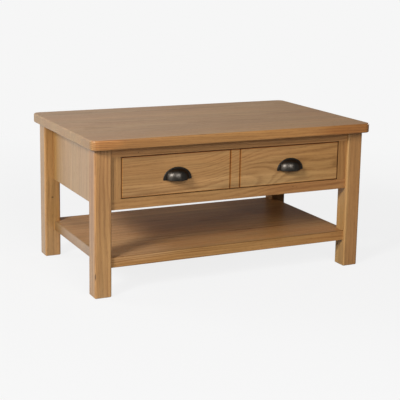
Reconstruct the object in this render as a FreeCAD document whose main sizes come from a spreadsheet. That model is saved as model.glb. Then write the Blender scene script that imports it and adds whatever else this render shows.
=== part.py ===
import FreeCAD, Part
import enum
import os
import Sketcher

# Oak coffee table with one wide drawer and a lower shelf, in millimetres.
# The origin is on the floor under the middle of the top. X runs along the width, the front faces -Y, Z is up.

document = FreeCAD.newDocument("coffee_table")

# Driving sizes: alias, value, meaning
SIZES = (
    ("top_width", 900, "width of the top"),
    ("top_depth", 550, "depth of the top"),
    ("table_height", 450, "floor to the upper face of the top"),
    ("top_thickness", 28, "thickness of the top"),
    ("top_corner_radius", 22, "plan radius of the top's corners"),
    ("top_edge_radius", 4, "easing of the top's upper and lower edges"),
    ("overhang_side", 16, "top beyond the legs at each side"),
    ("overhang_front", 24, "top beyond the legs at front and back"),
    ("leg_size", 50, "side of a square leg"),
    ("leg_edge_radius", 5, "rounding of a leg's long edges"),
    ("foot_chamfer", 2, "chamfer round a leg's foot"),
    ("apron_height", 175, "height of the aprons and of the face frame"),
    ("apron_thickness", 21, "thickness of the side and back aprons"),
    ("rail_thickness", 22, "thickness of the face frame"),
    ("top_rail_height", 26, "height of the front top rail"),
    ("bottom_rail_height", 30, "height of the front bottom rail"),
    ("stile_width", 30, "width of a face frame stile"),
    ("frame_recess", 8, "face frame and back apron behind the legs' faces"),
    ("arris_radius", 1.5, "easing of visible board edges"),
    ("tenon_length", 18, "length of the tenons in the legs"),
    ("tenon_thickness", 10, "thickness of all tenons"),
    ("rail_shoulder", 5, "shoulder above and below a rail's tenon"),
    ("apron_shoulder", 15, "shoulder above and below an apron's tenon"),
    ("stub_length", 8, "length of a stile's stub tenons"),
    ("stub_shoulder", 6, "shoulder beside a stile's stub tenon"),
    ("glue_gap", 0.15, "glue room on each side of a joint"),
    ("shelf_top_height", 112, "floor to the upper face of the shelf"),
    ("shelf_thickness", 30, "thickness of the shelf"),
    ("shelf_front_recess", 8, "shelf behind the legs' front and back faces"),
    ("shelf_side_recess", 31, "shelf behind the legs' outer side faces"),
    ("shelf_edge_radius", 2, "easing of the shelf's long edges"),
    ("dowel_diameter", 8, "diameter of a shelf dowel"),
    ("dowel_length", 40, "length of a shelf dowel"),
    ("dowel_spacing", 18, "distance between the two dowels in a leg"),
    ("drawer_gap", 1.8, "gap round the drawer front"),
    ("slide_clearance", 0.3, "running gap under and behind the drawer"),
    ("guide_clearance", 0.8, "running gap beside the drawer"),
    ("drawer_front_thickness", 22, "thickness of the drawer front"),
    ("drawer_side_thickness", 12, "thickness of the drawer sides"),
    ("drawer_back_thickness", 12, "thickness of the drawer back"),
    ("drawer_bottom_thickness", 6, "thickness of the drawer bottom"),
    ("bottom_height", 10, "drawer bottom above the lower edge of the sides"),
    ("bottom_groove_depth", 6, "depth of the groove round the drawer bottom"),
    ("batten_width", 40, "width of the batten under the drawer bottom"),
    ("batten_thickness", 8, "thickness of the batten under the drawer bottom"),
    ("front_edge_radius", 2, "easing of the drawer front's edges"),
    ("v_groove_spacing", 32, "distance between the two V-grooves"),
    ("v_groove_width", 3, "width of a V-groove"),
    ("v_groove_depth", 2.2, "depth of a V-groove"),
    ("dovetail_lap", 6, "wood left in front of the dovetails"),
    ("tail_count", 3, "dovetails at each end of a drawer side"),
    ("tail_root", 19, "width of a dovetail at its root"),
    ("tail_flare", 0.16, "widening of a dovetail on each side for its length"),
    ("ledge_height", 18, "height of a runner's ledge"),
    ("ledge_reach", 5, "ledge beyond the drawer side's inner face"),
    ("guide_height", 24, "height of a runner's guide above its ledge"),
    ("kicker_width", 50, "width of a kicker"),
    ("cleat_width", 22, "width of the back cleat"),
    ("rear_stop_length", 10, "rear stop between the drawer and the back apron"),
    ("rear_stop_height", 30, "height of a rear stop"),
    ("pull_stop_setback", 100, "rear face of a pull stop behind the top rail"),
    ("pull_stop_length", 20, "length of a pull stop along the travel"),
    ("pull_stop_thickness", 20, "thickness of a pull stop"),
    ("pull_stop_drop", 8, "pull stop below the drawer back's upper edge"),
    ("fixing_spacing", 120, "distance between screws along the depth"),
    ("rail_screw_offset", 160, "top screws beside the middle of rail and cleat"),
    ("screw_diameter", 4, "shank of a wood screw"),
    ("screw_head_diameter", 8, "head of a wood screw"),
    ("screw_head_height", 2.5, "height of a wood screw's head"),
    ("screw_grip", 14, "wood held under a wood screw's head"),
    ("screw_bite", 14, "wood screw beyond the held piece"),
    ("screw_point", 5, "length of a screw's point"),
    ("screw_clearance", 0.2, "hole larger than its screw on each side"),
    ("counterbore_clearance", 0.8, "counterbore larger than the head on each side"),
    ("panel_screw_diameter", 3, "shank of a drawer bottom screw"),
    ("panel_screw_head_diameter", 6, "head of a drawer bottom screw"),
    ("panel_screw_head_height", 2, "height of a drawer bottom screw's head"),
    ("panel_screw_bite", 12, "drawer bottom screw in the drawer back"),
    ("panel_screw_spacing", 160, "distance between drawer bottom screws"),
    ("handle_width", 88, "width of a cup handle's rim"),
    ("handle_height", 35, "height of the rim above the lip of the cup"),
    ("handle_lip_drop", 15.2, "lip of the cup below the middle of the drawer front"),
    ("handle_projection", 27, "depth of the cup in front of the drawer"),
    ("ear_drop", 1.2, "rim's ears below the lip of the cup"),
    ("rim_width", 5, "rim above the cup"),
    ("ear_width", 8.5, "rim beyond the cup at each side"),
    ("rim_thickness", 2.5, "thickness of the rim"),
    ("rim_dome", 10, "depth of the dome that rounds the rim's edge"),
    ("cup_wall", 2, "wall of the cup"),
    ("post_spacing", 50, "distance between a handle's screw posts"),
    ("post_height", 12, "screw posts above the lip of the cup"),
    ("post_diameter", 9, "diameter of a screw post"),
    ("bolt_diameter", 4, "shank of a handle screw"),
    ("bolt_head_diameter", 8, "head of a handle screw"),
    ("bolt_head_height", 2.5, "height of a handle screw's head"),
    ("bolt_bite", 7, "handle screw in the post"),
)

# Places that follow from the sizes: alias, formula, meaning
PLACES = (
    ("leg_outer_x", "Size.top_width / 2 - Size.overhang_side", "outer side face of a leg"),
    ("leg_outer_y", "Size.top_depth / 2 - Size.overhang_front", "front or back face of a leg"),
    ("leg_inner_x", "leg_outer_x - Size.leg_size", "inner side face of a leg and of a side apron"),
    ("leg_inner_y", "leg_outer_y - Size.leg_size", "inner face of a leg along the depth"),
    ("leg_length", "Size.table_height - Size.top_thickness", "upper end of the legs"),
    ("apron_base", "leg_length - Size.apron_height", "underside of the aprons"),
    ("frame_face_y", "leg_outer_y - Size.frame_recess", "face of the face frame and of the back apron"),
    ("rail_back_y", "frame_face_y - Size.rail_thickness", "back of the face frame"),
    ("back_inner_y", "frame_face_y - Size.apron_thickness", "inner face of the back apron"),
    ("opening_low", "apron_base + Size.bottom_rail_height", "lower edge of the drawer opening"),
    ("opening_high", "leg_length - Size.top_rail_height", "upper edge of the drawer opening"),
    ("opening_height", "opening_high - opening_low", "height of the drawer opening"),
    ("bay_depth", "rail_back_y + back_inner_y", "depth between face frame and back apron"),
    ("bay_middle_y", "(back_inner_y - rail_back_y) / 2", "middle of that depth"),
    ("front_half", "leg_inner_x - Size.stile_width - Size.drawer_gap", "half the drawer's width"),
    ("front_low", "opening_low + Size.drawer_gap", "lower edge of the drawer front"),
    ("front_height", "opening_height - 2 * Size.drawer_gap", "height of the drawer front"),
    ("front_back_y", "frame_face_y - Size.drawer_front_thickness", "back of the drawer front"),
    ("side_low", "opening_low + Size.slide_clearance", "lower edge of the drawer sides"),
    ("side_lift", "side_low - front_low", "lower edge of the sides above that of the front"),
    ("side_height", "front_height - side_lift", "height of the drawer sides"),
    ("drawer_end_y", "back_inner_y - Size.rear_stop_length - Size.slide_clearance", "rear end of the drawer"),
    ("side_length", "drawer_end_y + front_back_y", "drawer side behind the drawer front"),
    ("inner_half", "front_half - Size.drawer_side_thickness", "half the drawer's inner width"),
    ("back_low", "Size.bottom_height + Size.drawer_bottom_thickness", "drawer back above the sides' base"),
    ("front_tail", "Size.drawer_front_thickness - Size.dovetail_lap", "length of the front dovetails"),
    ("guide_thickness", "leg_inner_x - front_half - Size.guide_clearance", "thickness of a runner's guide"),
    ("ledge_width", "leg_inner_x - inner_half + Size.ledge_reach", "width of a runner"),
    ("kicker_inner_x", "leg_inner_x - Size.kicker_width", "inner face of a kicker"),
    ("stop_rear_y", "Size.pull_stop_setback - rail_back_y", "rear face of the pull stops"),
    ("stop_low", "side_low + side_height - Size.pull_stop_drop", "lower end of the pull stops"),
    ("handle_x", "(front_half + Size.v_groove_spacing / 2) / 2", "middle of a handle"),
    ("lip_z", "front_low + front_height / 2 - Size.handle_lip_drop", "lip of the cups"),
    ("shelf_base", "Size.shelf_top_height - Size.shelf_thickness", "underside of the shelf"),
    ("shelf_half_x", "leg_outer_x - Size.shelf_side_recess", "half the shelf's width"),
    ("shelf_half_y", "leg_outer_y - Size.shelf_front_recess", "half the shelf's depth"),
    ("dowel_hole", "Size.dowel_diameter + 2 * Size.glue_gap", "diameter of a dowel hole"),
    ("dowel_depth", "Size.dowel_length / 2 + Size.glue_gap", "depth of a dowel hole"),
    ("dowel_y", "(shelf_half_y + leg_inner_y) / 2", "middle of a pair of dowels"),
    ("screw_hole", "Size.screw_diameter + 2 * Size.screw_clearance", "hole of a wood screw"),
    ("screw_bore", "Size.screw_head_diameter + 2 * Size.counterbore_clearance", "hole of a screw head"),
    ("bolt_hole", "Size.bolt_diameter + 2 * Size.screw_clearance", "hole of a handle screw"),
    ("panel_hole", "Size.panel_screw_diameter + 2 * Size.screw_clearance", "hole of a drawer bottom screw"),
)

TOUCH = 1e-6
CROWN = 0.35  # radius of a screw head's flat crown, as a share of the head's diameter
UP = FreeCAD.Vector(0, 0, 1)

# Points of a line or circle, in the order in which Sketcher counts them
Point = enum.IntEnum("Point", "START END CENTRE")


def make_sheet(name, rows):
    """Fill a spreadsheet with one aliased cell for each row."""
    sheet = document.addObject("Spreadsheet::Sheet", name)
    for number, (alias, content, meaning) in enumerate(rows, start=1):
        sheet.set(f"A{number}", meaning)
        sheet.set(f"B{number}", str(content))
        sheet.setAlias(f"B{number}", alias)
    document.recompute()
    return sheet


size_sheet = make_sheet("Size", SIZES)
make_sheet("Place", [(alias, "=" + formula, meaning) for alias, formula, meaning in PLACES])


def value(expression):
    """The number that an expression gives now."""
    return float(size_sheet.evalExpression(expression))


def bind_place(thing, x, y, z):
    """Tie an object's position to three expressions."""
    for axis, expression in zip("xyz", (x, y, z)):
        thing.setExpression(f"Placement.Base.{axis}", expression)


def new_body(label, x, y, z, turn=0):
    """An empty body at a bound place, turned about Z by some degrees."""
    body = document.addObject("PartDesign::Body", label)
    body.Placement.Rotation = FreeCAD.Rotation(UP, turn)
    bind_place(body, x, y, z)
    return body


def mirrored(source, label):
    """The twin of a sub-part on the other side of the table."""
    twin = document.addObject("Part::Mirroring", label)
    twin.Source = source
    twin.Normal = FreeCAD.Vector(1, 0, 0)
    return twin


def new_sketch(body, plane, start):
    """A sketch on one of the body's own planes, moved along X, Y or Z to start."""
    sketch = body.newObject("Sketcher::SketchObject", body.Name + "_sketch")
    support = next(item for item in body.Origin.OriginFeatures if item.Role == plane + "_Plane")
    sketch.AttachmentSupport = [(support, "")]
    sketch.MapMode = "FlatFace"
    sign = "-1" if plane == "XZ" else "1"
    sketch.setExpression("AttachmentOffset.Base.z", f"{sign} * ({start})")
    return sketch


def bind_point(sketch, geometry, vertex, point):
    """Tie a point of a sketch to two expressions, from the start of its own axis, which is geometry -1."""
    for kind, expression in zip(("DistanceX", "DistanceY"), point):
        rule = Sketcher.Constraint(kind, -1, Point.START, geometry, vertex, value(expression))
        index = sketch.addConstraint(rule)
        sketch.setExpression(f"Constraints[{index}]", expression)


def draw_polygon(sketch, points):
    """A closed outline through bound points."""
    first = sketch.GeometryCount
    count = len(points)
    corners = [FreeCAD.Vector(value(u), value(v), 0) for u, v in points]
    for i in range(count):
        sketch.addGeometry(Part.LineSegment(corners[i], corners[(i + 1) % count]))
    for i in range(count):
        following = first + (i + 1) % count
        sketch.addConstraint(Sketcher.Constraint("Coincident", first + i, Point.END, following, Point.START))
        bind_point(sketch, first + i, Point.START, points[i])


def draw_circle(sketch, centre, diameter):
    """A circle with a bound centre and diameter."""
    middle = FreeCAD.Vector(value(centre[0]), value(centre[1]), 0)
    geometry = sketch.addGeometry(Part.Circle(middle, UP, value(diameter) / 2))
    bind_point(sketch, geometry, Point.CENTRE, centre)
    index = sketch.addConstraint(Sketcher.Constraint("Diameter", geometry, value(diameter)))
    sketch.setExpression(f"Constraints[{index}]", diameter)


def rectangle(u_low, u_high, v_low, v_high):
    """The corners of a rectangle."""
    return [(u_low, v_low), (u_high, v_low), (u_high, v_high), (u_low, v_high)]


def extrude(body, kind, sketch, plane, length):
    """Pad or pocket a sketch towards +X, +Y or +Z."""
    before = body.Shape.Volume if kind == "Pocket" else 0
    feature = body.newObject("PartDesign::" + kind, f"{body.Name}_{kind.lower()}")
    feature.Profile = sketch
    feature.setExpression("Length", length)
    feature.Reversed = (kind == "Pad") == (plane == "XZ")
    document.recompute()
    if kind == "Pocket" and body.Shape.Volume > before - TOUCH:
        raise RuntimeError(f"{feature.Name} cuts nothing")


def pad(body, plane, outlines, start, length):
    """Add prisms of the outlines from start along the plane's axis."""
    sketch = new_sketch(body, plane, start)
    for outline in outlines:
        draw_polygon(sketch, outline)
    extrude(body, "Pad", sketch, plane, length)


def pocket(body, plane, outlines, start, length):
    """Cut prisms of the outlines from start along the plane's axis."""
    sketch = new_sketch(body, plane, start)
    for outline in outlines:
        draw_polygon(sketch, outline)
    extrude(body, "Pocket", sketch, plane, length)


def drill(body, plane, centres, diameter, start, length):
    """Cut round holes from start along the plane's axis."""
    sketch = new_sketch(body, plane, start)
    for centre in centres:
        draw_circle(sketch, centre, diameter)
    extrude(body, "Pocket", sketch, plane, length)


def ease(body, kind, size_name, size, wanted):
    """Fillet or chamfer the edges of a body that the test wants."""
    base = body.Tip
    names = [f"Edge{i}" for i, edge in enumerate(base.Shape.Edges, start=1) if wanted(edge.BoundBox)]
    feature = body.newObject("PartDesign::" + kind, f"{body.Name}_{kind.lower()}")
    feature.Base = (base, names)
    feature.setExpression(size_name, size)
    document.recompute()


def upright(box):
    """Whether an edge's box is an upright line."""
    return box.XLength < TOUCH and box.YLength < TOUCH


def level_at(box, height):
    """Whether an edge's box lies level at a height."""
    return abs(box.ZMin - height) < TOUCH and abs(box.ZMax - height) < TOUCH


def both_sides(expression):
    """An expression and its opposite."""
    return (f"-({expression})", expression)


def centred(length, thickness):
    """The two ends of a thickness in the middle of a length."""
    return f"({length} - {thickness}) / 2", f"({length} + {thickness}) / 2"


def depth_rows(middle):
    """Three places along the depth, one fixing space apart."""
    return [f"{middle} + {step} * Size.fixing_spacing" for step in (-1, 0, 1)]


def top_screw_places():
    """X and Y of the screws that hold the top, by the piece that they pass through."""
    kicker_x = "(Place.leg_inner_x - Size.kicker_width / 2)"
    rail_y = "(Size.rail_thickness / 2 - Place.frame_face_y)"
    cleat_y = "(Place.back_inner_y - Size.cleat_width / 2)"
    return {
        "kicker": [(x, y) for x in both_sides(kicker_x) for y in depth_rows("Place.bay_middle_y")],
        "rail": [(x, rail_y) for x in both_sides("Size.rail_screw_offset")],
        "cleat": [(x, cleat_y) for x in both_sides("Size.rail_screw_offset")],
    }


def make_top():
    """The top panel, with pilot holes for its screws."""
    body = new_body("top_panel", "0", "0", "Place.leg_length")
    x_ends = both_sides("Size.top_width / 2")
    y_ends = both_sides("Size.top_depth / 2")
    pad(body, "XY", [rectangle(*x_ends, *y_ends)], "0", "Size.top_thickness")
    ease(body, "Fillet", "Radius", "Size.top_corner_radius", upright)
    thickness = value("Size.top_thickness")
    ease(body, "Fillet", "Radius", "Size.top_edge_radius",
         lambda box: level_at(box, 0) or level_at(box, thickness))
    centres = [place for places in top_screw_places().values() for place in places]
    drill(body, "XY", centres, "Place.screw_hole", "0", "Size.screw_bite + Size.glue_gap")


def make_leg(label, x, y, turn, rails):
    """A square leg seen from its outer corner, with X and Y running inwards.

    The rails are the pieces that enter its inner X face: low edge, height, shoulder and thickness of each.
    """
    body = new_body(label, x, y, "0", turn)
    pad(body, "XY", [rectangle("0", "Size.leg_size", "0", "Size.leg_size")], "0", "Place.leg_length")
    ease(body, "Fillet", "Radius", "Size.leg_edge_radius", upright)
    ease(body, "Chamfer", "Size", "Size.foot_chamfer", lambda box: level_at(box, 0))

    mortise_start = "Size.leg_size - Size.tenon_length - Size.glue_gap"
    mortise_depth = "Size.tenon_length + Size.glue_gap"
    mortises = []
    for low, height, shoulder, thickness in rails:
        near, far = centred(thickness, "Size.tenon_thickness")
        mortises.append(rectangle(
            f"Size.frame_recess + {near} - Size.glue_gap", f"Size.frame_recess + {far} + Size.glue_gap",
            f"{low} + {shoulder} - Size.glue_gap", f"{low} + {height} - {shoulder} + Size.glue_gap"))
    pocket(body, "YZ", mortises, mortise_start, mortise_depth)

    near, far = centred("Size.apron_thickness", "Size.tenon_thickness")
    apron_mortise = rectangle(
        f"Size.leg_size - {far} - Size.glue_gap", f"Size.leg_size - {near} + Size.glue_gap",
        "Place.apron_base + Size.apron_shoulder - Size.glue_gap",
        "Place.leg_length - Size.apron_shoulder + Size.glue_gap")
    pocket(body, "XZ", [apron_mortise], mortise_start, mortise_depth)

    dowel_z = "Place.shelf_base + Size.shelf_thickness / 2"
    dowels = [(f"Place.leg_outer_y - Place.dowel_y + {side} * Size.dowel_spacing / 2", dowel_z)
              for side in (-1, 1)]
    drill(body, "YZ", dowels, "Place.dowel_hole", "Size.leg_size - Place.dowel_depth", "Place.dowel_depth")
    return body


def make_legs():
    """Four legs: the front right and back left ones are twins of the other two."""
    front_rails = [
        ("Place.opening_high", "Size.top_rail_height", "Size.rail_shoulder", "Size.rail_thickness"),
        ("Place.apron_base", "Size.bottom_rail_height", "Size.rail_shoulder", "Size.rail_thickness"),
    ]
    back_rails = [("Place.apron_base", "Size.apron_height", "Size.apron_shoulder", "Size.apron_thickness")]
    front = make_leg("leg_front_left", "-Place.leg_outer_x", "-Place.leg_outer_y", 0, front_rails)
    back = make_leg("leg_back_right", "Place.leg_outer_x", "Place.leg_outer_y", 180, back_rails)
    mirrored(front, "leg_front_right")
    mirrored(back, "leg_back_left")


def make_cross_board(label, y, z, height, thickness, shoulder):
    """A board across the table between two legs, with a tenon at each end."""
    body = new_body(label, "0", y, z)
    tenon_ends = both_sides("Place.leg_inner_x + Size.tenon_length")
    near, far = centred(thickness, "Size.tenon_thickness")
    pad(body, "XY", [rectangle(*both_sides("Place.leg_inner_x"), "0", thickness)], "0", height)
    pad(body, "XY", [rectangle(*tenon_ends, near, far)], shoulder, f"{height} - 2 * {shoulder}")
    return body


def cut_stub_mortises(body, start):
    """The mortises that take the stub tenons of both stiles."""
    near, far = centred("Size.rail_thickness", "Size.tenon_thickness")
    low = "Place.leg_inner_x - Size.stile_width + Size.stub_shoulder - Size.glue_gap"
    high = "Place.leg_inner_x - Size.stub_shoulder + Size.glue_gap"
    y_ends = (f"{near} - Size.glue_gap", f"{far} + Size.glue_gap")
    outlines = [rectangle(low, high, *y_ends), rectangle(f"-({high})", f"-({low})", *y_ends)]
    pocket(body, "XY", outlines, start, "Size.stub_length + Size.glue_gap")


def drill_top_screws(body, centres, height):
    """Counterbored holes, from below, for screws that go up into the top."""
    drill(body, "XY", centres, "Place.screw_hole", "0", height)
    drill(body, "XY", centres, "Place.screw_bore", "0", f"{height} - Size.screw_grip")


def make_face_frame():
    """The two front rails and the two stiles round the drawer."""
    top_rail = make_cross_board(
        "front_top_rail", "-Place.frame_face_y", "Place.opening_high",
        "Size.top_rail_height", "Size.rail_thickness", "Size.rail_shoulder")
    cut_stub_mortises(top_rail, "0")
    centres = [(x, "Size.rail_thickness / 2") for x in both_sides("Size.rail_screw_offset")]
    drill_top_screws(top_rail, centres, "Size.top_rail_height")

    bottom_rail = make_cross_board(
        "front_bottom_rail", "-Place.frame_face_y", "Place.apron_base",
        "Size.bottom_rail_height", "Size.rail_thickness", "Size.rail_shoulder")
    cut_stub_mortises(bottom_rail, "Size.bottom_rail_height - Size.stub_length - Size.glue_gap")
    ease(bottom_rail, "Fillet", "Radius", "Size.arris_radius",
         lambda box: level_at(box, 0) and box.YLength < TOUCH and box.XLength > value("Place.leg_inner_x"))

    stile = new_body("front_stile_left", "-Place.leg_inner_x", "-Place.frame_face_y", "Place.opening_low")
    near, far = centred("Size.rail_thickness", "Size.tenon_thickness")
    stub = rectangle("Size.stub_shoulder", "Size.stile_width - Size.stub_shoulder", near, far)
    board = rectangle("0", "Size.stile_width", "0", "Size.rail_thickness")
    pad(stile, "XY", [board], "0", "Place.opening_height")
    pad(stile, "XY", [stub], "-Size.stub_length", "Place.opening_height + 2 * Size.stub_length")
    mirrored(stile, "front_stile_right")


def make_aprons():
    """The side aprons, flush with the legs inside the table, and the back apron."""
    side = new_body("side_apron_left", "-Place.leg_inner_x - Size.apron_thickness", "0", "Place.apron_base")
    near, far = centred("Size.apron_thickness", "Size.tenon_thickness")
    board = rectangle("0", "Size.apron_thickness", *both_sides("Place.leg_inner_y"))
    tenon = rectangle(near, far, *both_sides("Place.leg_inner_y + Size.tenon_length"))
    pad(side, "XY", [board], "0", "Size.apron_height")
    pad(side, "XY", [tenon], "Size.apron_shoulder", "Size.apron_height - 2 * Size.apron_shoulder")
    ease(side, "Fillet", "Radius", "Size.arris_radius", lambda box: level_at(box, 0) and box.XLength < TOUCH)
    screw_z = "Size.bottom_rail_height + Size.guide_height / 2"
    centres = [(y, screw_z) for y in depth_rows("Place.bay_middle_y")]
    hole_depth = "(Size.screw_bite + Size.glue_gap)"
    drill(side, "YZ", centres, "Place.screw_hole", f"Size.apron_thickness - {hole_depth}", hole_depth)
    mirrored(side, "side_apron_right")

    back = make_cross_board(
        "back_apron", "Place.back_inner_y", "Place.apron_base",
        "Size.apron_height", "Size.apron_thickness", "Size.apron_shoulder")
    ease(back, "Fillet", "Radius", "Size.arris_radius", lambda box: level_at(box, 0) and box.YLength < TOUCH)


def make_shelf():
    """The lower shelf, notched round the legs."""
    body = new_body("shelf_panel", "0", "0", "Place.shelf_base")
    corner = [
        ("Place.shelf_half_x", "Place.leg_inner_y"),
        ("Place.leg_inner_x", "Place.leg_inner_y"),
        ("Place.leg_inner_x", "Place.shelf_half_y"),
    ]
    outline = []
    for sign_x, sign_y in ((1, 1), (-1, 1), (-1, -1), (1, -1)):
        turned = [(f"{sign_x} * {x}", f"{sign_y} * {y}") for x, y in corner]
        outline += turned if sign_x == sign_y else turned[::-1]
    pad(body, "XY", [outline], "0", "Size.shelf_thickness")
    edge_x = value("Place.shelf_half_x") - TOUCH
    edge_y = value("Place.shelf_half_y") - TOUCH

    def outer_edge(box):
        """Whether an edge's box lies along the outside of the shelf."""
        at_side = min(abs(box.XMin), abs(box.XMax)) > edge_x
        at_front_or_back = min(abs(box.YMin), abs(box.YMax)) > edge_y
        return box.ZLength < TOUCH and (at_side or at_front_or_back)

    ease(body, "Fillet", "Radius", "Size.shelf_edge_radius", outer_edge)
    for start in ("-Place.leg_inner_x", "Place.leg_inner_x - Place.dowel_depth"):
        centres = [(f"{side} * Place.dowel_y + {step} * Size.dowel_spacing / 2", "Size.shelf_thickness / 2")
                   for side in (-1, 1) for step in (-1, 1)]
        drill(body, "YZ", centres, "Place.dowel_hole", start, "Place.dowel_depth")


def make_runners():
    """The L-shaped runners, the kickers, the back cleat and the stops."""
    runner = new_body("drawer_runner_left", "-Place.leg_inner_x", "-Place.rail_back_y",
                      "Place.opening_low - Size.ledge_height")
    runner_top = "Size.ledge_height + Size.guide_height"
    profile = [
        ("0", "0"), ("Place.ledge_width", "0"),
        ("Place.ledge_width", "Size.ledge_height"), ("Place.guide_thickness", "Size.ledge_height"),
        ("Place.guide_thickness", runner_top), ("0", runner_top),
    ]
    pad(runner, "XZ", [profile], "0", "Place.bay_depth")
    screw_z = "Size.ledge_height + Size.guide_height / 2"
    centres = [(y, screw_z) for y in depth_rows("Place.bay_depth / 2")]
    drill(runner, "YZ", centres, "Place.screw_hole", "0", "Place.guide_thickness")
    drill(runner, "YZ", centres, "Place.screw_bore", "Size.screw_grip",
          "Place.guide_thickness - Size.screw_grip")
    mirrored(runner, "drawer_runner_right")

    kicker = new_body("drawer_kicker_left", "-Place.leg_inner_x", "-Place.rail_back_y", "Place.opening_high")
    board = rectangle("0", "Size.kicker_width", "0", "Place.bay_depth")
    pad(kicker, "XY", [board], "0", "Size.top_rail_height")
    drill_top_screws(kicker, [("Size.kicker_width / 2", y) for y in depth_rows("Place.bay_depth / 2")],
                     "Size.top_rail_height")
    stop_screw_y = "Place.stop_rear_y + Place.rail_back_y - Size.pull_stop_length / 2"
    hole_depth = "(Size.screw_bite + Size.glue_gap)"
    drill(kicker, "YZ", [(stop_screw_y, "Size.top_rail_height / 2")],
          "Place.screw_hole", f"Size.kicker_width - {hole_depth}", hole_depth)
    mirrored(kicker, "drawer_kicker_right")

    cleat = new_body("back_cleat", "0", "Place.back_inner_y - Size.cleat_width", "Place.opening_high")
    pad(cleat, "XY", [rectangle(*both_sides("Place.kicker_inner_x"), "0", "Size.cleat_width")],
        "0", "Size.top_rail_height")
    drill_top_screws(cleat, [(x, "Size.cleat_width / 2") for x in both_sides("Size.rail_screw_offset")],
                     "Size.top_rail_height")

    rear_stop = new_body("rear_stop_left", "Place.guide_thickness - Place.leg_inner_x",
                         "Place.back_inner_y - Size.rear_stop_length", "Place.opening_low")
    pad(rear_stop, "XY",
        [rectangle("0", "Place.ledge_width - Place.guide_thickness", "0", "Size.rear_stop_length")],
        "0", "Size.rear_stop_height")
    mirrored(rear_stop, "rear_stop_right")

    pull_stop = new_body("pull_stop_left", "-Place.kicker_inner_x",
                         "Place.stop_rear_y - Size.pull_stop_length", "Place.stop_low")
    pad(pull_stop, "XY", [rectangle("0", "Size.pull_stop_thickness", "0", "Size.pull_stop_length")],
        "0", "Place.leg_length - Place.stop_low")
    centre = [("Size.pull_stop_length / 2", "Place.opening_high + Size.top_rail_height / 2 - Place.stop_low")]
    drill(pull_stop, "YZ", centre, "Place.screw_hole", "0", "Size.pull_stop_thickness")
    drill(pull_stop, "YZ", centre, "Place.screw_bore", "Size.screw_grip",
          "Size.pull_stop_thickness - Size.screw_grip")
    mirrored(pull_stop, "pull_stop_right")


def tails(root, tip, low, height, room):
    """Dovetails spread over a height: trapezia that widen from root to tip, with glue room round them.

    The room is 0 for the tails themselves and the glue gap for their sockets.
    """
    count = int(value("Size.tail_count"))
    flare = f"Size.tail_flare * abs(({tip}) - ({root}))"
    outlines = []
    for i in range(count):
        middle = f"{low} + ({height}) * {(2 * i + 1) / (2 * count)}"
        narrow = f"Size.tail_root / 2 + {room}"
        wide = f"Size.tail_root / 2 + {flare} + {room}"
        outlines.append([
            (root, f"{middle} - ({narrow})"), (tip, f"{middle} - ({wide})"),
            (tip, f"{middle} + {wide}"), (root, f"{middle} + {narrow}"),
        ])
    return outlines


def make_drawer_front():
    """The drawer front with eased edges, V-grooves, dovetail sockets, bottom groove and screw holes."""
    body = new_body("drawer_front", "0", "-Place.frame_face_y", "Place.front_low")
    thickness = "Size.drawer_front_thickness"
    pad(body, "XY", [rectangle(*both_sides("Place.front_half"), "0", thickness)], "0", "Place.front_height")
    ease(body, "Fillet", "Radius", "Size.front_edge_radius", lambda box: box.YMax < TOUCH)

    grooves = []
    for side in (-1, 1):
        middle = f"{side} * Size.v_groove_spacing / 2"
        grooves.append([
            (f"{middle} - Size.v_groove_width / 2", "0"),
            (f"{middle} + Size.v_groove_width / 2", "0"),
            (middle, "Size.v_groove_depth"),
        ])
    pocket(body, "XY", grooves, "0", "Place.front_height")

    socket_depth = "Size.drawer_side_thickness + Size.glue_gap"
    sockets = tails(thickness, f"{thickness} - Place.front_tail - Size.glue_gap", "Place.side_lift",
                    "Place.side_height", "Size.glue_gap")
    for start in ("-Place.front_half", f"Place.front_half - ({socket_depth})"):
        pocket(body, "YZ", sockets, start, socket_depth)

    groove = rectangle(f"{thickness} - Size.bottom_groove_depth", thickness,
                       "Place.side_lift + Size.bottom_height - Size.glue_gap",
                       "Place.side_lift + Place.back_low + Size.glue_gap")
    pocket(body, "YZ", [groove], "-Place.inner_half", "2 * Place.inner_half")

    post_z = "Place.lip_z + Size.post_height - Place.front_low"
    centres = [(f"{x} + {side} * Size.post_spacing / 2", post_z)
               for x in both_sides("Place.handle_x") for side in (-1, 1)]
    drill(body, "XZ", centres, "Place.bolt_hole", "0", thickness)


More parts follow.
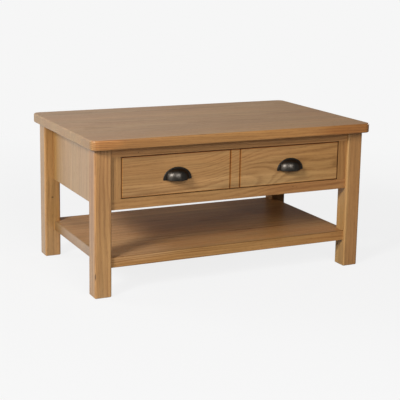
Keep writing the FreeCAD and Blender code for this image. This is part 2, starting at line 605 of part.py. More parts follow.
def make_drawer_box():
    """The dovetailed sides, the back, the sliding bottom and its batten."""
    side = new_body("drawer_side_left", "-Place.front_half", "-Place.front_back_y", "Place.side_low")
    thickness = "Size.drawer_side_thickness"
    back_start = "Place.side_length - Size.drawer_back_thickness"
    back_height = "Place.side_height - Place.back_low"
    outline = [
        ("0", "0"), ("Place.side_length", "0"), ("Place.side_length", "Place.back_low"),
        (back_start, "Place.back_low"), (back_start, "Place.side_height"), ("0", "Place.side_height"),
    ]
    pad(side, "YZ", [outline], "0", thickness)
    front_tails = tails("0", "-Place.front_tail", "0", "Place.side_height", "0")
    back_tails = tails(back_start, "Place.side_length", "Place.back_low", back_height, "0")
    pad(side, "YZ", front_tails, "0", thickness)
    pad(side, "YZ", back_tails, "0", thickness)
    groove = rectangle("-Place.front_tail", "Place.side_length",
                       "Size.bottom_height - Size.glue_gap", "Place.back_low")
    pocket(side, "YZ", [groove], f"{thickness} - Size.bottom_groove_depth", "Size.bottom_groove_depth")
    mirrored(side, "drawer_side_right")

    back = new_body("drawer_back", "0", "Place.drawer_end_y - Size.drawer_back_thickness",
                    "Place.side_low + Place.back_low + Size.glue_gap")
    pad(back, "XY", [rectangle(*both_sides("Place.front_half"), "0", "Size.drawer_back_thickness")],
        "0", f"{back_height} - Size.glue_gap")
    sockets = tails("-Size.glue_gap", "Size.drawer_back_thickness", "-Size.glue_gap", back_height,
                    "Size.glue_gap")
    socket_depth = f"{thickness} + Size.glue_gap"
    for start in ("-Place.front_half", f"Place.front_half - ({socket_depth})"):
        pocket(back, "YZ", sockets, start, socket_depth)
    screw_x = [f"{step} * Size.panel_screw_spacing" for step in (-1, 0, 1)]
    drill(back, "XY", [(x, "Size.drawer_back_thickness / 2") for x in screw_x],
          "Place.panel_hole", "0", "Size.panel_screw_bite")

    panel_y = "-Place.front_back_y - Size.bottom_groove_depth + Size.glue_gap"
    panel_length = "Place.side_length + Size.bottom_groove_depth - Size.glue_gap"
    bottom = new_body("drawer_bottom", "0", panel_y, "Place.side_low + Size.bottom_height")
    panel_ends = both_sides("Place.inner_half + Size.bottom_groove_depth - Size.glue_gap")
    pad(bottom, "XY", [rectangle(*panel_ends, "0", panel_length)],
        "0", "Size.drawer_bottom_thickness - Size.glue_gap")
    screw_y = f"{panel_length} - Size.drawer_back_thickness / 2"
    drill(bottom, "XY", [(x, screw_y) for x in screw_x],
          "Place.panel_hole", "0", "Size.drawer_bottom_thickness")

    batten = new_body("drawer_batten", "0", "-Place.front_back_y",
                      "Place.side_low + Size.bottom_height - Size.batten_thickness")
    pad(batten, "XY", [rectangle(*both_sides("Size.batten_width / 2"), "0", back_start)],
        "0", "Size.batten_thickness")


def primitive(kind, name, x, y, z, **sizes):
    """A Part primitive at a bound place with bound sizes."""
    thing = document.addObject("Part::" + kind, name)
    for property_name, expression in sizes.items():
        thing.setExpression(property_name, expression)
    bind_place(thing, x, y, z)
    return thing


def combine(kind, name, base, tool):
    """A boolean of two objects."""
    result = document.addObject("Part::" + kind, name)
    result.Base = base
    result.Tool = tool
    return result


def ellipsoid(name, half_width, depth, height):
    """An ellipsoid round the middle of the left handle's lip, with its seam turned to the back."""
    thing = primitive("Ellipsoid", name, "-Place.handle_x", "-Place.frame_face_y", "Place.lip_z",
                      Radius1=height, Radius2=depth, Radius3=half_width)
    thing.Placement.Rotation = FreeCAD.Rotation(UP, 90)
    return thing


def handle_posts(name, diameter, length):
    """Two cylinders that run forward from the drawer front at the handle's screw places."""
    posts = []
    for side in (-1, 1):
        post = primitive("Cylinder", f"{name}_post", f"{side} * Size.post_spacing / 2 - Place.handle_x",
                         "-Place.frame_face_y", "Place.lip_z + Size.post_height",
                         Radius=f"{diameter} / 2", Height=length)
        post.Placement.Rotation = FreeCAD.Rotation(UP, FreeCAD.Vector(0, -1, 0))
        posts.append(post)
    return combine("Fuse", name, *posts)


def make_handles():
    """Cup handles: a quarter of a hollow ellipsoid with a domed rim, two ears and two screw posts."""
    cup_half = "(Size.handle_width / 2 - Size.ear_width)"
    cup_height = "(Size.handle_height - Size.rim_width)"
    outer = ellipsoid("cup_outer", cup_half, "Size.handle_projection", cup_height)
    inner = ellipsoid("cup_inner", f"{cup_half} - Size.cup_wall", "Size.handle_projection - Size.cup_wall",
                      f"{cup_height} - Size.cup_wall")
    dome = ellipsoid("rim_outer", "Size.handle_width / 2", "Size.rim_dome", "Size.handle_height")

    left_x = "-Place.handle_x - Size.handle_width / 2"
    cup_room = primitive("Box", "cup_room",
                         left_x, "-Place.frame_face_y - Size.handle_projection", "Place.lip_z",
                         Length="Size.handle_width", Width="Size.handle_projection",
                         Height="Size.handle_height")
    rim_room = primitive("Box", "rim_room",
                         left_x, "-Place.frame_face_y - Size.rim_thickness", "Place.lip_z - Size.ear_drop",
                         Length="Size.handle_width", Width="Size.rim_thickness",
                         Height="Size.handle_height + Size.ear_drop")
    cup = combine("Common", "cup_solid", outer, cup_room)
    rim = combine("Common", "rim_solid", dome, rim_room)
    blank = combine("Fuse", "cup_blank", cup, rim)
    shell = combine("Cut", "cup_shell", blank, inner)
    post_blank = handle_posts("post_blank", "Size.post_diameter", "Size.handle_projection")
    posts = combine("Common", "cup_posts", post_blank, cup)
    cast = combine("Fuse", "cup_cast", shell, posts)
    holes = handle_posts("post_holes", "Place.bolt_hole", "Size.bolt_bite + Size.glue_gap")
    handle = combine("Cut", "cup_handle_left", cast, holes)
    mirrored(handle, "cup_handle_right")


def make_screw(name, diameter, head_diameter, head_height, length, point):
    """A screw along Z: its head is below the origin and its point is up."""
    body = new_body(name, "0", "0", "0")
    sketch = new_sketch(body, "XZ", "0")
    draw_polygon(sketch, [
        ("0", f"-{head_height}"), (f"{head_diameter} * {CROWN}", f"-{head_height}"),
        (f"{head_diameter} / 2", "0"), (f"{diameter} / 2", "0"),
        (f"{diameter} / 2", f"{length} - {point}"), ("0", length),
    ])
    turned = body.newObject("PartDesign::Revolution", name + "_turned")
    turned.Profile = sketch
    turned.ReferenceAxis = (sketch, ["V_Axis"])
    document.recompute()
    return body


def make_group(label, master, places):
    """Copies of one piece as a group: each place is a direction and a bound position."""
    copies = []
    for direction, position in places:
        copy = document.addObject("App::Link", label + "_copy")
        copy.LinkedObject = master
        copy.Placement.Rotation = FreeCAD.Rotation(UP, FreeCAD.Vector(*direction))
        bind_place(copy, *position)
        copies.append(copy)
    group = document.addObject("Part::Compound", label)
    group.Links = copies


def make_fasteners():
    """Dowels and screws, one group for each kind and place."""
    dowel = primitive("Cylinder", "dowel", "0", "0", "0",
                      Radius="Size.dowel_diameter / 2", Height="Size.dowel_length")
    dowel_z = "Place.shelf_base + Size.shelf_thickness / 2"
    make_group("shelf_dowels", dowel, [
        ((1, 0, 0), (f"{side} * Place.leg_inner_x - Size.dowel_length / 2",
                     f"{end} * Place.dowel_y + {step} * Size.dowel_spacing / 2", dowel_z))
        for side in (-1, 1) for end in (-1, 1) for step in (-1, 1)])

    wood_screw = make_screw("wood_screw", "Size.screw_diameter", "Size.screw_head_diameter",
                            "Size.screw_head_height", "(Size.screw_grip + Size.screw_bite)",
                            "Size.screw_point")
    make_group("top_screws", wood_screw, [
        ((0, 0, 1), (x, y, "Place.leg_length - Size.screw_grip"))
        for places in top_screw_places().values() for x, y in places])
    make_group("runner_screws", wood_screw, [
        ((side, 0, 0), (f"{side} * (Place.leg_inner_x - Size.screw_grip)", y,
                        "Place.opening_low + Size.guide_height / 2"))
        for side in (-1, 1) for y in depth_rows("Place.bay_middle_y")])
    make_group("stop_screws", wood_screw, [
        ((side, 0, 0), (f"{side} * (Place.kicker_inner_x - Size.screw_grip)",
                        "Place.stop_rear_y - Size.pull_stop_length / 2",
                        "Place.opening_high + Size.top_rail_height / 2"))
        for side in (-1, 1)])

    bolt = make_screw("handle_bolt", "Size.bolt_diameter", "Size.bolt_head_diameter", "Size.bolt_head_height",
                      "(Size.drawer_front_thickness + Size.bolt_bite)", "Size.bolt_diameter / 2")
    make_group("handle_screws", bolt, [
        ((0, -1, 0), (f"{x} + {side} * Size.post_spacing / 2", "-Place.front_back_y",
                      "Place.lip_z + Size.post_height"))
        for x in both_sides("Place.handle_x") for side in (-1, 1)])

    panel_screw = make_screw("panel_screw", "Size.panel_screw_diameter", "Size.panel_screw_head_diameter",
                             "Size.panel_screw_head_height",
                             "(Size.drawer_bottom_thickness + Size.panel_screw_bite)", "Size.screw_point")
    make_group("bottom_screws", panel_screw, [
        ((0, 0, 1), (f"{step} * Size.panel_screw_spacing",
                     "Place.drawer_end_y - Size.drawer_back_thickness / 2",
                     "Place.side_low + Size.bottom_height"))
        for step in (-1, 0, 1)])


PAIRED = ("side_apron", "front_stile", "drawer_runner", "drawer_kicker", "rear_stop", "pull_stop",
          "drawer_side", "cup_handle", "leg_front", "leg_back")
SINGLE = ("top_panel", "front_top_rail", "front_bottom_rail", "back_apron", "shelf_panel", "back_cleat",
          "drawer_front", "drawer_back", "drawer_bottom", "drawer_batten", "shelf_dowels", "top_screws",
          "runner_screws", "stop_screws", "handle_screws", "bottom_screws")


def write_parts():
    """Check the whole document, then write one file for each sub-part."""
    document.recompute()
    for thing in document.Objects:
        if "Invalid" in thing.State or "Error" in thing.State:
            raise RuntimeError(f"{thing.Name} failed: {thing.State}")
    labels = SINGLE + tuple(f"{name}_{side}" for name in PAIRED for side in ("left", "right"))
    shapes = {label: document.getObjectsByLabel(label)[0].Shape for label in labels}
    for label, shape in shapes.items():
        if shape.isNull() or not shape.isValid() or shape.Volume <= 0:
            raise RuntimeError(f"{label} has no sound shape")
    os.makedirs("parts", exist_ok=True)
    for label, shape in shapes.items():
        shape.exportStep(f"parts/{label}.step")


make_top()
make_legs()
make_face_frame()
make_aprons()
make_shelf()
make_runners()
make_drawer_front()
make_drawer_box()
make_handles()
make_fasteners()
write_parts()
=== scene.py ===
import math
from typing import NamedTuple

import bmesh
import bpy
from bpy.props import FloatProperty, FloatVectorProperty, IntProperty, PointerProperty
from mathutils import Matrix, Vector


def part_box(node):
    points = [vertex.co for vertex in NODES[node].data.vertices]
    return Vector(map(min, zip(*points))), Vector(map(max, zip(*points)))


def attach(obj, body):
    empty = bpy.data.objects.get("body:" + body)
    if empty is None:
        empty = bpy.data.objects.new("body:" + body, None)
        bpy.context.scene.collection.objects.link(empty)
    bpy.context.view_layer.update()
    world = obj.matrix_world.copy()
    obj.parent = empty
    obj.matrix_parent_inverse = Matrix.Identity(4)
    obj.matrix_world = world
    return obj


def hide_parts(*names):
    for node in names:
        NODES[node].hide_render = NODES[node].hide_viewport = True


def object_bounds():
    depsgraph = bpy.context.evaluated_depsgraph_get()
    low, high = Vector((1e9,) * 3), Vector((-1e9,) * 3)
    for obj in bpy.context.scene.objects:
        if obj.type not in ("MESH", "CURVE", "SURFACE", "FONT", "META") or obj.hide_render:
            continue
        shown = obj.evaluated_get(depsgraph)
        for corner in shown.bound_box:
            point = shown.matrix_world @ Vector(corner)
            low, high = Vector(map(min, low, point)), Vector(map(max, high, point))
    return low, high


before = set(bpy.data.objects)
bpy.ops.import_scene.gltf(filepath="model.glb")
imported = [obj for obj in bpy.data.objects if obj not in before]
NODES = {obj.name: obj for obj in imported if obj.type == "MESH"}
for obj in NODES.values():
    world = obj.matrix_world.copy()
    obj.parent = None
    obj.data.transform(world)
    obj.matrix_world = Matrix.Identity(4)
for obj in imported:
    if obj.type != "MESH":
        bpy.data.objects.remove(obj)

bl_info = {
    "name": "Oak Coffee Table",
    "version": (1, 0, 0),
    "blender": (4, 5, 0),
    "location": "View3D > Sidebar > Coffee Table",
    "description": "Finishes the boards of an oak coffee table and adds its handles, screws and studio",
    "category": "Object",
}

CAD_LOW, CAD_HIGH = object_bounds()
IMAGE_SIZE = 400
SENSOR_WIDTH = 36.0

# Vertices that lie closer than this are one, in metres
WELD = 1e-6


# Properties that a user would change

def linear(shown):
    """The linear value of a 0 to 255 level on a screen."""
    level = shown / 255
    return level / 12.92 if level <= 0.04045 else ((level + 0.055) / 1.055) ** 2.4


def colour(name, description, *shown):
    """A colour property whose default is given in 0 to 255 screen levels."""
    return FloatVectorProperty(name=name, description=description, subtype="COLOR", size=3, min=0, max=1,
                               default=[linear(level) for level in shown])


def length(name, description, millimetres):
    """A length property whose default is given in millimetres."""
    return FloatProperty(name=name, description=description, subtype="DISTANCE", unit="LENGTH", precision=5,
                         default=millimetres / 1000)


def share(name, description, default):
    """A property from 0 to 1."""
    return FloatProperty(name=name, description=description, subtype="FACTOR", min=0, max=1,
                         default=default)


def metres(name, description, default):
    """A length property whose default is given in metres."""
    return FloatProperty(name=name, description=description, subtype="DISTANCE", unit="LENGTH",
                         default=default)


def watts(name, description, default):
    """The power of a lamp."""
    return FloatProperty(name=name, description=description, unit="POWER", default=default)


def position(name, description, *default):
    """A place in metres."""
    return FloatVectorProperty(name=name, description=description, subtype="TRANSLATION", size=3,
                               default=default)


def angle(name, description, default):
    """An angle in radians."""
    return FloatProperty(name=name, description=description, subtype="ANGLE", default=default)


def number(name, description, default, least=0.0):
    """A plain number."""
    return FloatProperty(name=name, description=description, default=default, min=least)


class OakFinish(bpy.types.PropertyGroup):
    """Lacquered oak of the table's outside."""

    late: colour("Late wood", "Pale wood between the ring lines", 172, 128, 78)
    early: colour("Early wood", "Dark porous line of a ring", 128, 87, 46)
    pore: colour("Pore", "Open pores of the early wood", 88, 55, 28)
    knot: colour("Knot", "Small knots and dark streaks", 50, 30, 17)
    ring: length("Ring width", "Growth of one year", 5.2)
    wander: length("Wander", "How far the heart of the tree strays from a straight line", 8)
    roughness: share("Roughness", "Roughness of the satin lacquer", 0.36)
    depth: length("Grain depth", "Depth of the open grain under the lacquer", 0.12)


class InnerWoodFinish(bpy.types.PropertyGroup):
    """Pale bare wood of the drawer box and the battens."""

    late: colour("Late wood", "Pale wood between the ring lines", 214, 184, 142)
    early: colour("Early wood", "Darker line of a ring", 184, 146, 100)
    pore: colour("Pore", "Fine flecks", 150, 112, 74)
    knot: colour("Knot", "Small knots", 120, 82, 50)
    ring: length("Ring width", "Growth of one year", 2.6)
    wander: length("Wander", "How far the heart of the tree strays from a straight line", 5)
    roughness: share("Roughness", "Roughness of the bare wood", 0.62)
    depth: length("Grain depth", "Depth of the grain", 0.08)


class PlyFinish(bpy.types.PropertyGroup):
    """Plywood of the drawer bottom."""

    face: colour("Face", "Face veneer", 216, 190, 150)
    line: colour("Line", "Grain lines of the face veneer", 190, 158, 114)
    core: colour("Core", "Cross layers seen at the edge", 158, 118, 78)
    layer: length("Layer", "Thickness of one layer", 1.2)


class HandleFinish(bpy.types.PropertyGroup):
    """Cast cup handles."""

    metal: colour("Metal", "Dark bronzed iron", 70, 65, 59)
    rubbed: colour("Rubbed metal", "Metal where hands have polished it", 112, 106, 99)
    roughness: share("Roughness", "Roughness of the metal", 0.4)
    fullness: number("Fullness", "Power of the dome's profile; 2 is an ellipse", 2.7, 1)
    bow: number("Bow", "Power of the dome's plan; 2 is an ellipse", 1.75, 1)
    wall: length("Wall", "Wall of the cup", 2)
    rim_width: length("Rim width", "Rim above the cup", 5)
    ear_width: length("Ear width", "Rim beyond the cup at each side", 8.5)
    rim_thickness: length("Rim thickness", "Thickness of the rim", 2.5)
    ear_drop: length("Ear drop", "Rim's ears below the lip", 1.2)
    post_spacing: length("Post spacing", "Distance between the screw posts", 50)
    post_height: length("Post height", "Screw posts above the lip", 12)
    post_diameter: length("Post diameter", "Diameter of a screw post", 9)


class ScrewFinish(bpy.types.PropertyGroup):
    """Countersunk cross-head screws."""

    steel: colour("Steel", "Zinc plated steel", 176, 174, 168)
    dull: colour("Dull steel", "Dull patches in the plating", 128, 124, 116)
    pitch: length("Pitch", "Distance between two turns of the thread", 1.8)
    thread: length("Thread", "Depth of the thread", 0.6)
    slot: length("Slot", "Width of the cross slot", 1.1)
    thread_steps: IntProperty(name="Steps", description="Steps in one turn of the thread", min=6,
                              default=14)


class StageSettings(bpy.types.PropertyGroup):
    """Studio round the table."""

    backdrop: colour("Backdrop", "Pale floor and background", 246, 246, 246)
    floor_share: share("Plain floor", "Share of the floor near the table that shows no shadow", 0.9)
    floor_light: share("Floor light", "Light that the floor throws back on the table", 0.42)
    floor_radius: metres("Floor radius", "Radius of the floor", 60)
    sky: share("Sky", "Light that comes from above", 0.02)
    horizon: share("Horizon", "Light that comes from around", 0.04)
    key_power: watts("Key power", "Power of the key lamp", 365)
    key_place: position("Key place", "Middle of the key lamp", -4.97, -2.87, 3.27)
    key_size: metres("Key size", "Side of the key lamp", 1.4)
    fill_power: watts("Fill power", "Power of the fill lamp", 69)
    fill_place: position("Fill place", "Middle of the fill lamp", -0.3, -3.5, 2.0)
    fill_size: metres("Fill size", "Side of the fill lamp", 1.7)
    rear_power: watts("Rear power", "Power of the left rear lamp", 105)
    rear_place: position("Rear place", "Middle of the left rear lamp", -3.98, 3.34, 3.22)
    rear_size: metres("Rear size", "Side of the left rear lamp", 2.5)
    side_power: watts("Side power", "Power of the right rear lamp", 72)
    side_place: position("Side place", "Middle of the right rear lamp", 4.2, 2.5, 0.7)
    side_size: metres("Side size", "Side of the right rear lamp", 1.3)
    mirror_side: FloatVectorProperty(name="Bright side", description="Side that shines in a gloss",
                                     subtype="DIRECTION", size=3, default=(-0.8, 0.6, 0.0))
    mirror_bright: number("Bright level", "Level of the bright side", 1.25)
    mirror_dim: number("Dim level", "Level of the camera's side", 0.2)
    camera_place: position("Camera place", "Where the camera stands", -1.3689, -2.8250, 0.9393)
    yaw: angle("Yaw", "Turn of the camera from +Y", -0.4564)
    pitch: angle("Pitch", "Tilt of the camera", -0.1960)
    roll: angle("Roll", "Roll of the camera", -0.0183)
    focal_pixels: number("Focal length", "Focal length in pixels", 1028.3)
    centre_x: number("Centre column", "Column of the optical axis", 204.0)
    centre_y: number("Centre row", "Row of the optical axis", 160.5)


class TableSettings(bpy.types.PropertyGroup):
    """All settings of the coffee table."""

    oak: PointerProperty(type=OakFinish)
    inner: PointerProperty(type=InnerWoodFinish)
    ply: PointerProperty(type=PlyFinish)
    handle: PointerProperty(type=HandleFinish)
    screw: PointerProperty(type=ScrewFinish)
    stage: PointerProperty(type=StageSettings)


# Node trees written as Python

class Value:
    """An output socket whose sums and products are Math nodes."""

    def __init__(self, graph, socket):
        self.graph = graph
        self.socket = socket

    def __add__(self, other):
        return self.graph.math("ADD", self, other)

    def __sub__(self, other):
        return self.graph.math("SUBTRACT", self, other)

    def __rsub__(self, other):
        return self.graph.math("SUBTRACT", other, self)

    def __mul__(self, other):
        return self.graph.math("MULTIPLY", self, other)

    def __truediv__(self, other):
        return self.graph.math("DIVIDE", self, other)

    def __rtruediv__(self, other):
        return self.graph.math("DIVIDE", other, self)

    __radd__ = __add__
    __rmul__ = __mul__


class Noise(NamedTuple):
    """A noise: how fast it changes on three axes, per metre, its seed and its detail."""

    stretch: tuple
    seed: float
    detail: float


class Graph:
    """A node tree that is filled by calls."""

    def __init__(self, tree):
        self.tree = tree

    def add(self, kind, settings=None, sockets=None, output=0):
        """Add a node: its settings first, then the values or links of its sockets."""
        node = self.tree.nodes.new(kind)
        for name, setting in (settings or {}).items():
            if name == "stops":
                self.set_stops(node, setting)
            else:
                setattr(node, name, setting)
        for name, content in (sockets or {}).items():
            socket = self.find(node.inputs, name)
            for part in content if isinstance(content, list) else [content]:
                if isinstance(part, Value):
                    self.tree.links.new(part.socket, socket)
                else:
                    socket.default_value = part
        if not node.outputs:
            return None
        return Value(self, self.find(node.outputs, output))

    @staticmethod
    def find(sockets, name):
        """A socket by its place, identifier or name."""
        if isinstance(name, int):
            return sockets[name]
        for key in ("identifier", "name"):
            for socket in sockets:
                if getattr(socket, key) == name:
                    return socket
        raise KeyError(name)

    @staticmethod
    def set_stops(node, stops):
        """Give a ramp one stop for each place and grey level."""
        elements = node.color_ramp.elements
        while len(elements) < len(stops):
            elements.new(0)
        for element, (place, level) in zip(elements, stops):
            element.position = place
            element.color = (level, level, level, 1)

    def math(self, operation, first, second=0.0):
        """A Math node."""
        return self.add("ShaderNodeMath", {"operation": operation}, {"Value": first, "Value_001": second})

    def vector(self, operation, first, second=(0, 0, 0)):
        """A Vector Math node that gives a vector."""
        return self.add("ShaderNodeVectorMath", {"operation": operation},
                        {"Vector": first, "Vector_001": second})

    def size_of(self, vector):
        """The length of a vector."""
        return self.add("ShaderNodeVectorMath", {"operation": "LENGTH"}, {"Vector": vector}, "Value")

    def scaled(self, vector, factor):
        """A vector or colour times a number."""
        return self.add("ShaderNodeVectorMath", {"operation": "SCALE"}, {"Vector": vector, "Scale": factor})

    def parts(self, vector):
        """The three numbers of a vector."""
        split = self.add("ShaderNodeSeparateXYZ", {}, {"Vector": vector}).socket.node
        return [Value(self, socket) for socket in split.outputs]

    def joined(self, x, y, z):
        """A vector of three numbers."""
        return self.add("ShaderNodeCombineXYZ", {}, {"X": x, "Y": y, "Z": z})

    def mix(self, factor, first, second):
        """Two colours mixed."""
        return self.add("ShaderNodeMix", {"data_type": "RGBA", "clamp_factor": True},
                        {"Factor_Float": factor, "A_Color": first, "B_Color": second}, "Result_Color")

    def ramp(self, factor, stops):
        """A grey ramp."""
        return self.add("ShaderNodeValToRGB", {"stops": stops}, {"Fac": factor})

    def rise(self, number, low, high):
        """0 below low, 1 above high and smooth between them; low may be the larger one."""
        return self.add("ShaderNodeMapRange", {"interpolation_type": "SMOOTHSTEP"},
                        {"Value": number, "From Min": low, "From Max": high})

    def noise(self, vector, kind, seed=0.0, output=0):
        """A kind of noise on a vector; each seed gives another one of that kind."""
        stretched = self.vector("MULTIPLY", vector, kind.stretch)
        return self.add("ShaderNodeTexNoise", {"noise_dimensions": "4D"},
                        {"Vector": stretched, "W": seed + kind.seed, "Scale": 1.0, "Detail": kind.detail},
                        output)


def opaque(shown):
    """A colour with full alpha."""
    return (*shown, 1.0)


def new_material(name):
    """A material with an empty tree, and the graph that fills it."""
    material = bpy.data.materials.new(name)
    material.use_nodes = True
    material.node_tree.nodes.clear()
    return material, Graph(material.node_tree)


def surface(graph, sockets):
    """End a material in one Principled shader."""
    shader = graph.add("ShaderNodeBsdfPrincipled", {}, sockets, "BSDF")
    graph.add("ShaderNodeOutputMaterial", {}, {"Surface": shader})


def paint(node, material):
    """Give a CAD node one material."""
    slots = NODES[node].data.materials
    slots.clear()
    slots.append(material)


# Wood

# How a board whose grain runs along X is turned to run along another axis
GRAIN_TURN = {"X": (0, 0, 0), "Y": (0, 0, math.pi / 2), "Z": (0, -math.pi / 2, 0)}

# Noises along, across and through the grain
STRAY = Noise((1.9, 7, 7), 0.0, 1.0)
RIPPLE = Noise((14, 45, 45), 3.1, 2.0)
STRENGTH = Noise((2.2, 13, 13), 5.3, 2.0)
FIBRE = Noise((9, 210, 210), 7.9, 3.0)
PORE = Noise((75, 1300, 1300), 9.7, 1.0)
CLOUD = Noise((1.4, 6, 6), 11.3, 1.0)
STREAK = Noise((0.9, 55, 55), 13.1, 2.0)
HUE = Noise((2.5, 20, 20), 15.7, 1.0)

# Darkness of one year's ring, from its early wood to its late wood
RING_STOPS = ((0.0, 0.9), (0.1, 1.0), (0.38, 0.25), (0.8, 0.0), (1.0, 0.9))

# How fast the width of the rings changes, per metre, and by how many rings
UNEVEN_RATE = 60
UNEVEN_RINGS = 2.4

# Staves are cut from places up to this far apart along the tree, in metres
STAVE_SHIFT = 4

LIPPING_TINT = (0.92, 0.84, 0.76)
# Tint of the painted shade in the gap round a board, such as the drawer front
GAP_SHADE_TINT = (0.36, 0.21, 0.1)
OLIVE_TINT = (0.98, 1.01, 1.02, 1.0)
WARM_TINT = (1.02, 0.98, 0.96, 1.0)

# How far the lacquer's extra coat reaches in from a board's ends, at its start and in full
COAT_START = 0.004
COAT_FULL = 0.001

# Half size of a patch that runs right over its board
ALL = 5.0
SEED_STEP = 13.7


class Knot(NamedTuple):
    """A dark mark: its middle and half sizes in metres."""

    spot: tuple
    radii: tuple


class Patch(NamedTuple):
    """A paler or darker place: its middle and half sizes in metres, and its tint."""

    spot: tuple
    radii: tuple
    tint: tuple


class Board(NamedTuple):
    """How a board was cut from its tree and finished, in metres.

    grain: the axis along which the grain runs
    heart, lean: the tree's heart across and through the grain, and how far it leans per metre
    figure, streak: strength of the rings and of the long streaks
    growth: width of the rings, as a share of the wood's own
    gloss: specular level of the lacquer
    stave: width of the staves that the board is glued from
    lipping: width of the darker strip along its long edges
    swerve: start and end along the grain of a bend in the heart, and its shift across and through
    seam: depth behind the front of the painted shade that shows in the gap round the board
    end_coat: weight of the extra lacquer on its ends"""

    grain: str
    heart: tuple = (0.0, -0.06)
    lean: tuple = (0.0, 0.0)
    tint: tuple = (1.0, 1.0, 1.0)
    figure: float = 1.0
    growth: float = 1.0
    gloss: float = 0.4
    streak: float = 0.5
    stave: float = 0.0
    lipping: float = 0.0
    swerve: tuple = ()
    seam: float = 0.0
    end_coat: float = 0.0
    knots: tuple = ()
    patches: tuple = ()


def ring_distance(graph, wood, board, along, across, through, seed):
    """Distance of a point of the board from the wandering heart of its tree."""
    place = graph.joined(along, across, through)
    stray = graph.noise(place, STRAY, seed, "Color")
    stray_across, stray_through, _ = graph.parts(stray)
    reach = 4 * wood.wander
    from_across = across - board.heart[0] + along * board.lean[0] + (stray_across - 0.5) * reach
    from_through = through - board.heart[1] + along * board.lean[1] + (stray_through - 0.5) * reach
    if board.swerve:
        start, end, shift_across, shift_through = board.swerve
        moved = graph.rise(along, start, end)
        from_across = from_across + moved * shift_across
        from_through = from_through + moved * shift_through
    distance = graph.size_of(graph.joined(0.0, from_across, from_through))
    ripple = graph.noise(place, RIPPLE, seed)
    return (distance + (ripple - 0.5) * wood.ring) / board.growth


def tinted(graph, factor, shown, tint):
    """A colour that takes on a tint by a factor."""
    return graph.mix(factor, shown, graph.vector("MULTIPLY", shown, tint))


def spread(graph, place, spot, radii):
    """How far a point lies from a spot, in half sizes of the spot."""
    return graph.size_of(graph.vector("DIVIDE", graph.vector("SUBTRACT", place, spot), radii))


def marked(graph, shown, wood, board, node, place, fibre):
    """A board's colour with its lipping, its painted shade in the gap, its knots and its patches, some of
    them painted light and shade.
    """
    low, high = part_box(node)
    if board.lipping:
        _, edge, _ = graph.parts(graph.vector("SUBTRACT", place, (low + high) / 2))
        half = (high.y - low.y) / 2
        band = graph.rise(graph.math("ABSOLUTE", edge), half - board.lipping, half - board.lipping * 0.4)
        shown = tinted(graph, band, shown, LIPPING_TINT)
    # Painted shade on the faces just behind the front, which show in the gap round the board
    if board.seam:
        _, behind, _ = graph.parts(graph.vector("SUBTRACT", place, low))
        inside = graph.rise(behind, 0.05 * board.seam, 0.25 * board.seam)
        knot_stain_or_gap_shade = inside * graph.rise(behind, 2.5 * board.seam, 1.5 * board.seam)
        shown = tinted(graph, knot_stain_or_gap_shade, shown, GAP_SHADE_TINT)
    for knot in board.knots:
        away = spread(graph, place, knot.spot, knot.radii)
        knot_stain_or_gap_shade = graph.rise(away + (fibre - 0.5) * 0.8, 1.0, 0.25)
        shown = graph.mix(knot_stain_or_gap_shade * 0.8, shown, opaque(wood.knot))
    # Paler or darker patches; on the oak many of them are painted light and shade
    for patch in board.patches:
        away = spread(graph, place, patch.spot, patch.radii)
        inside = graph.rise(away + (fibre - 0.5) * 0.5, 1.15, 0.6)
        shown = tinted(graph, inside, shown, patch.tint)
    return shown


def end_coat(graph, board, node, place):
    """Weight of the extra coat at the ends of a board that lies along X."""
    low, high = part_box(node)
    half = (high.x - low.x) / 2
    from_middle, _, _ = graph.parts(graph.vector("SUBTRACT", place, (low + high) / 2))
    away = graph.math("ABSOLUTE", from_middle)
    return graph.rise(away, half - COAT_START, half - COAT_FULL) * board.end_coat


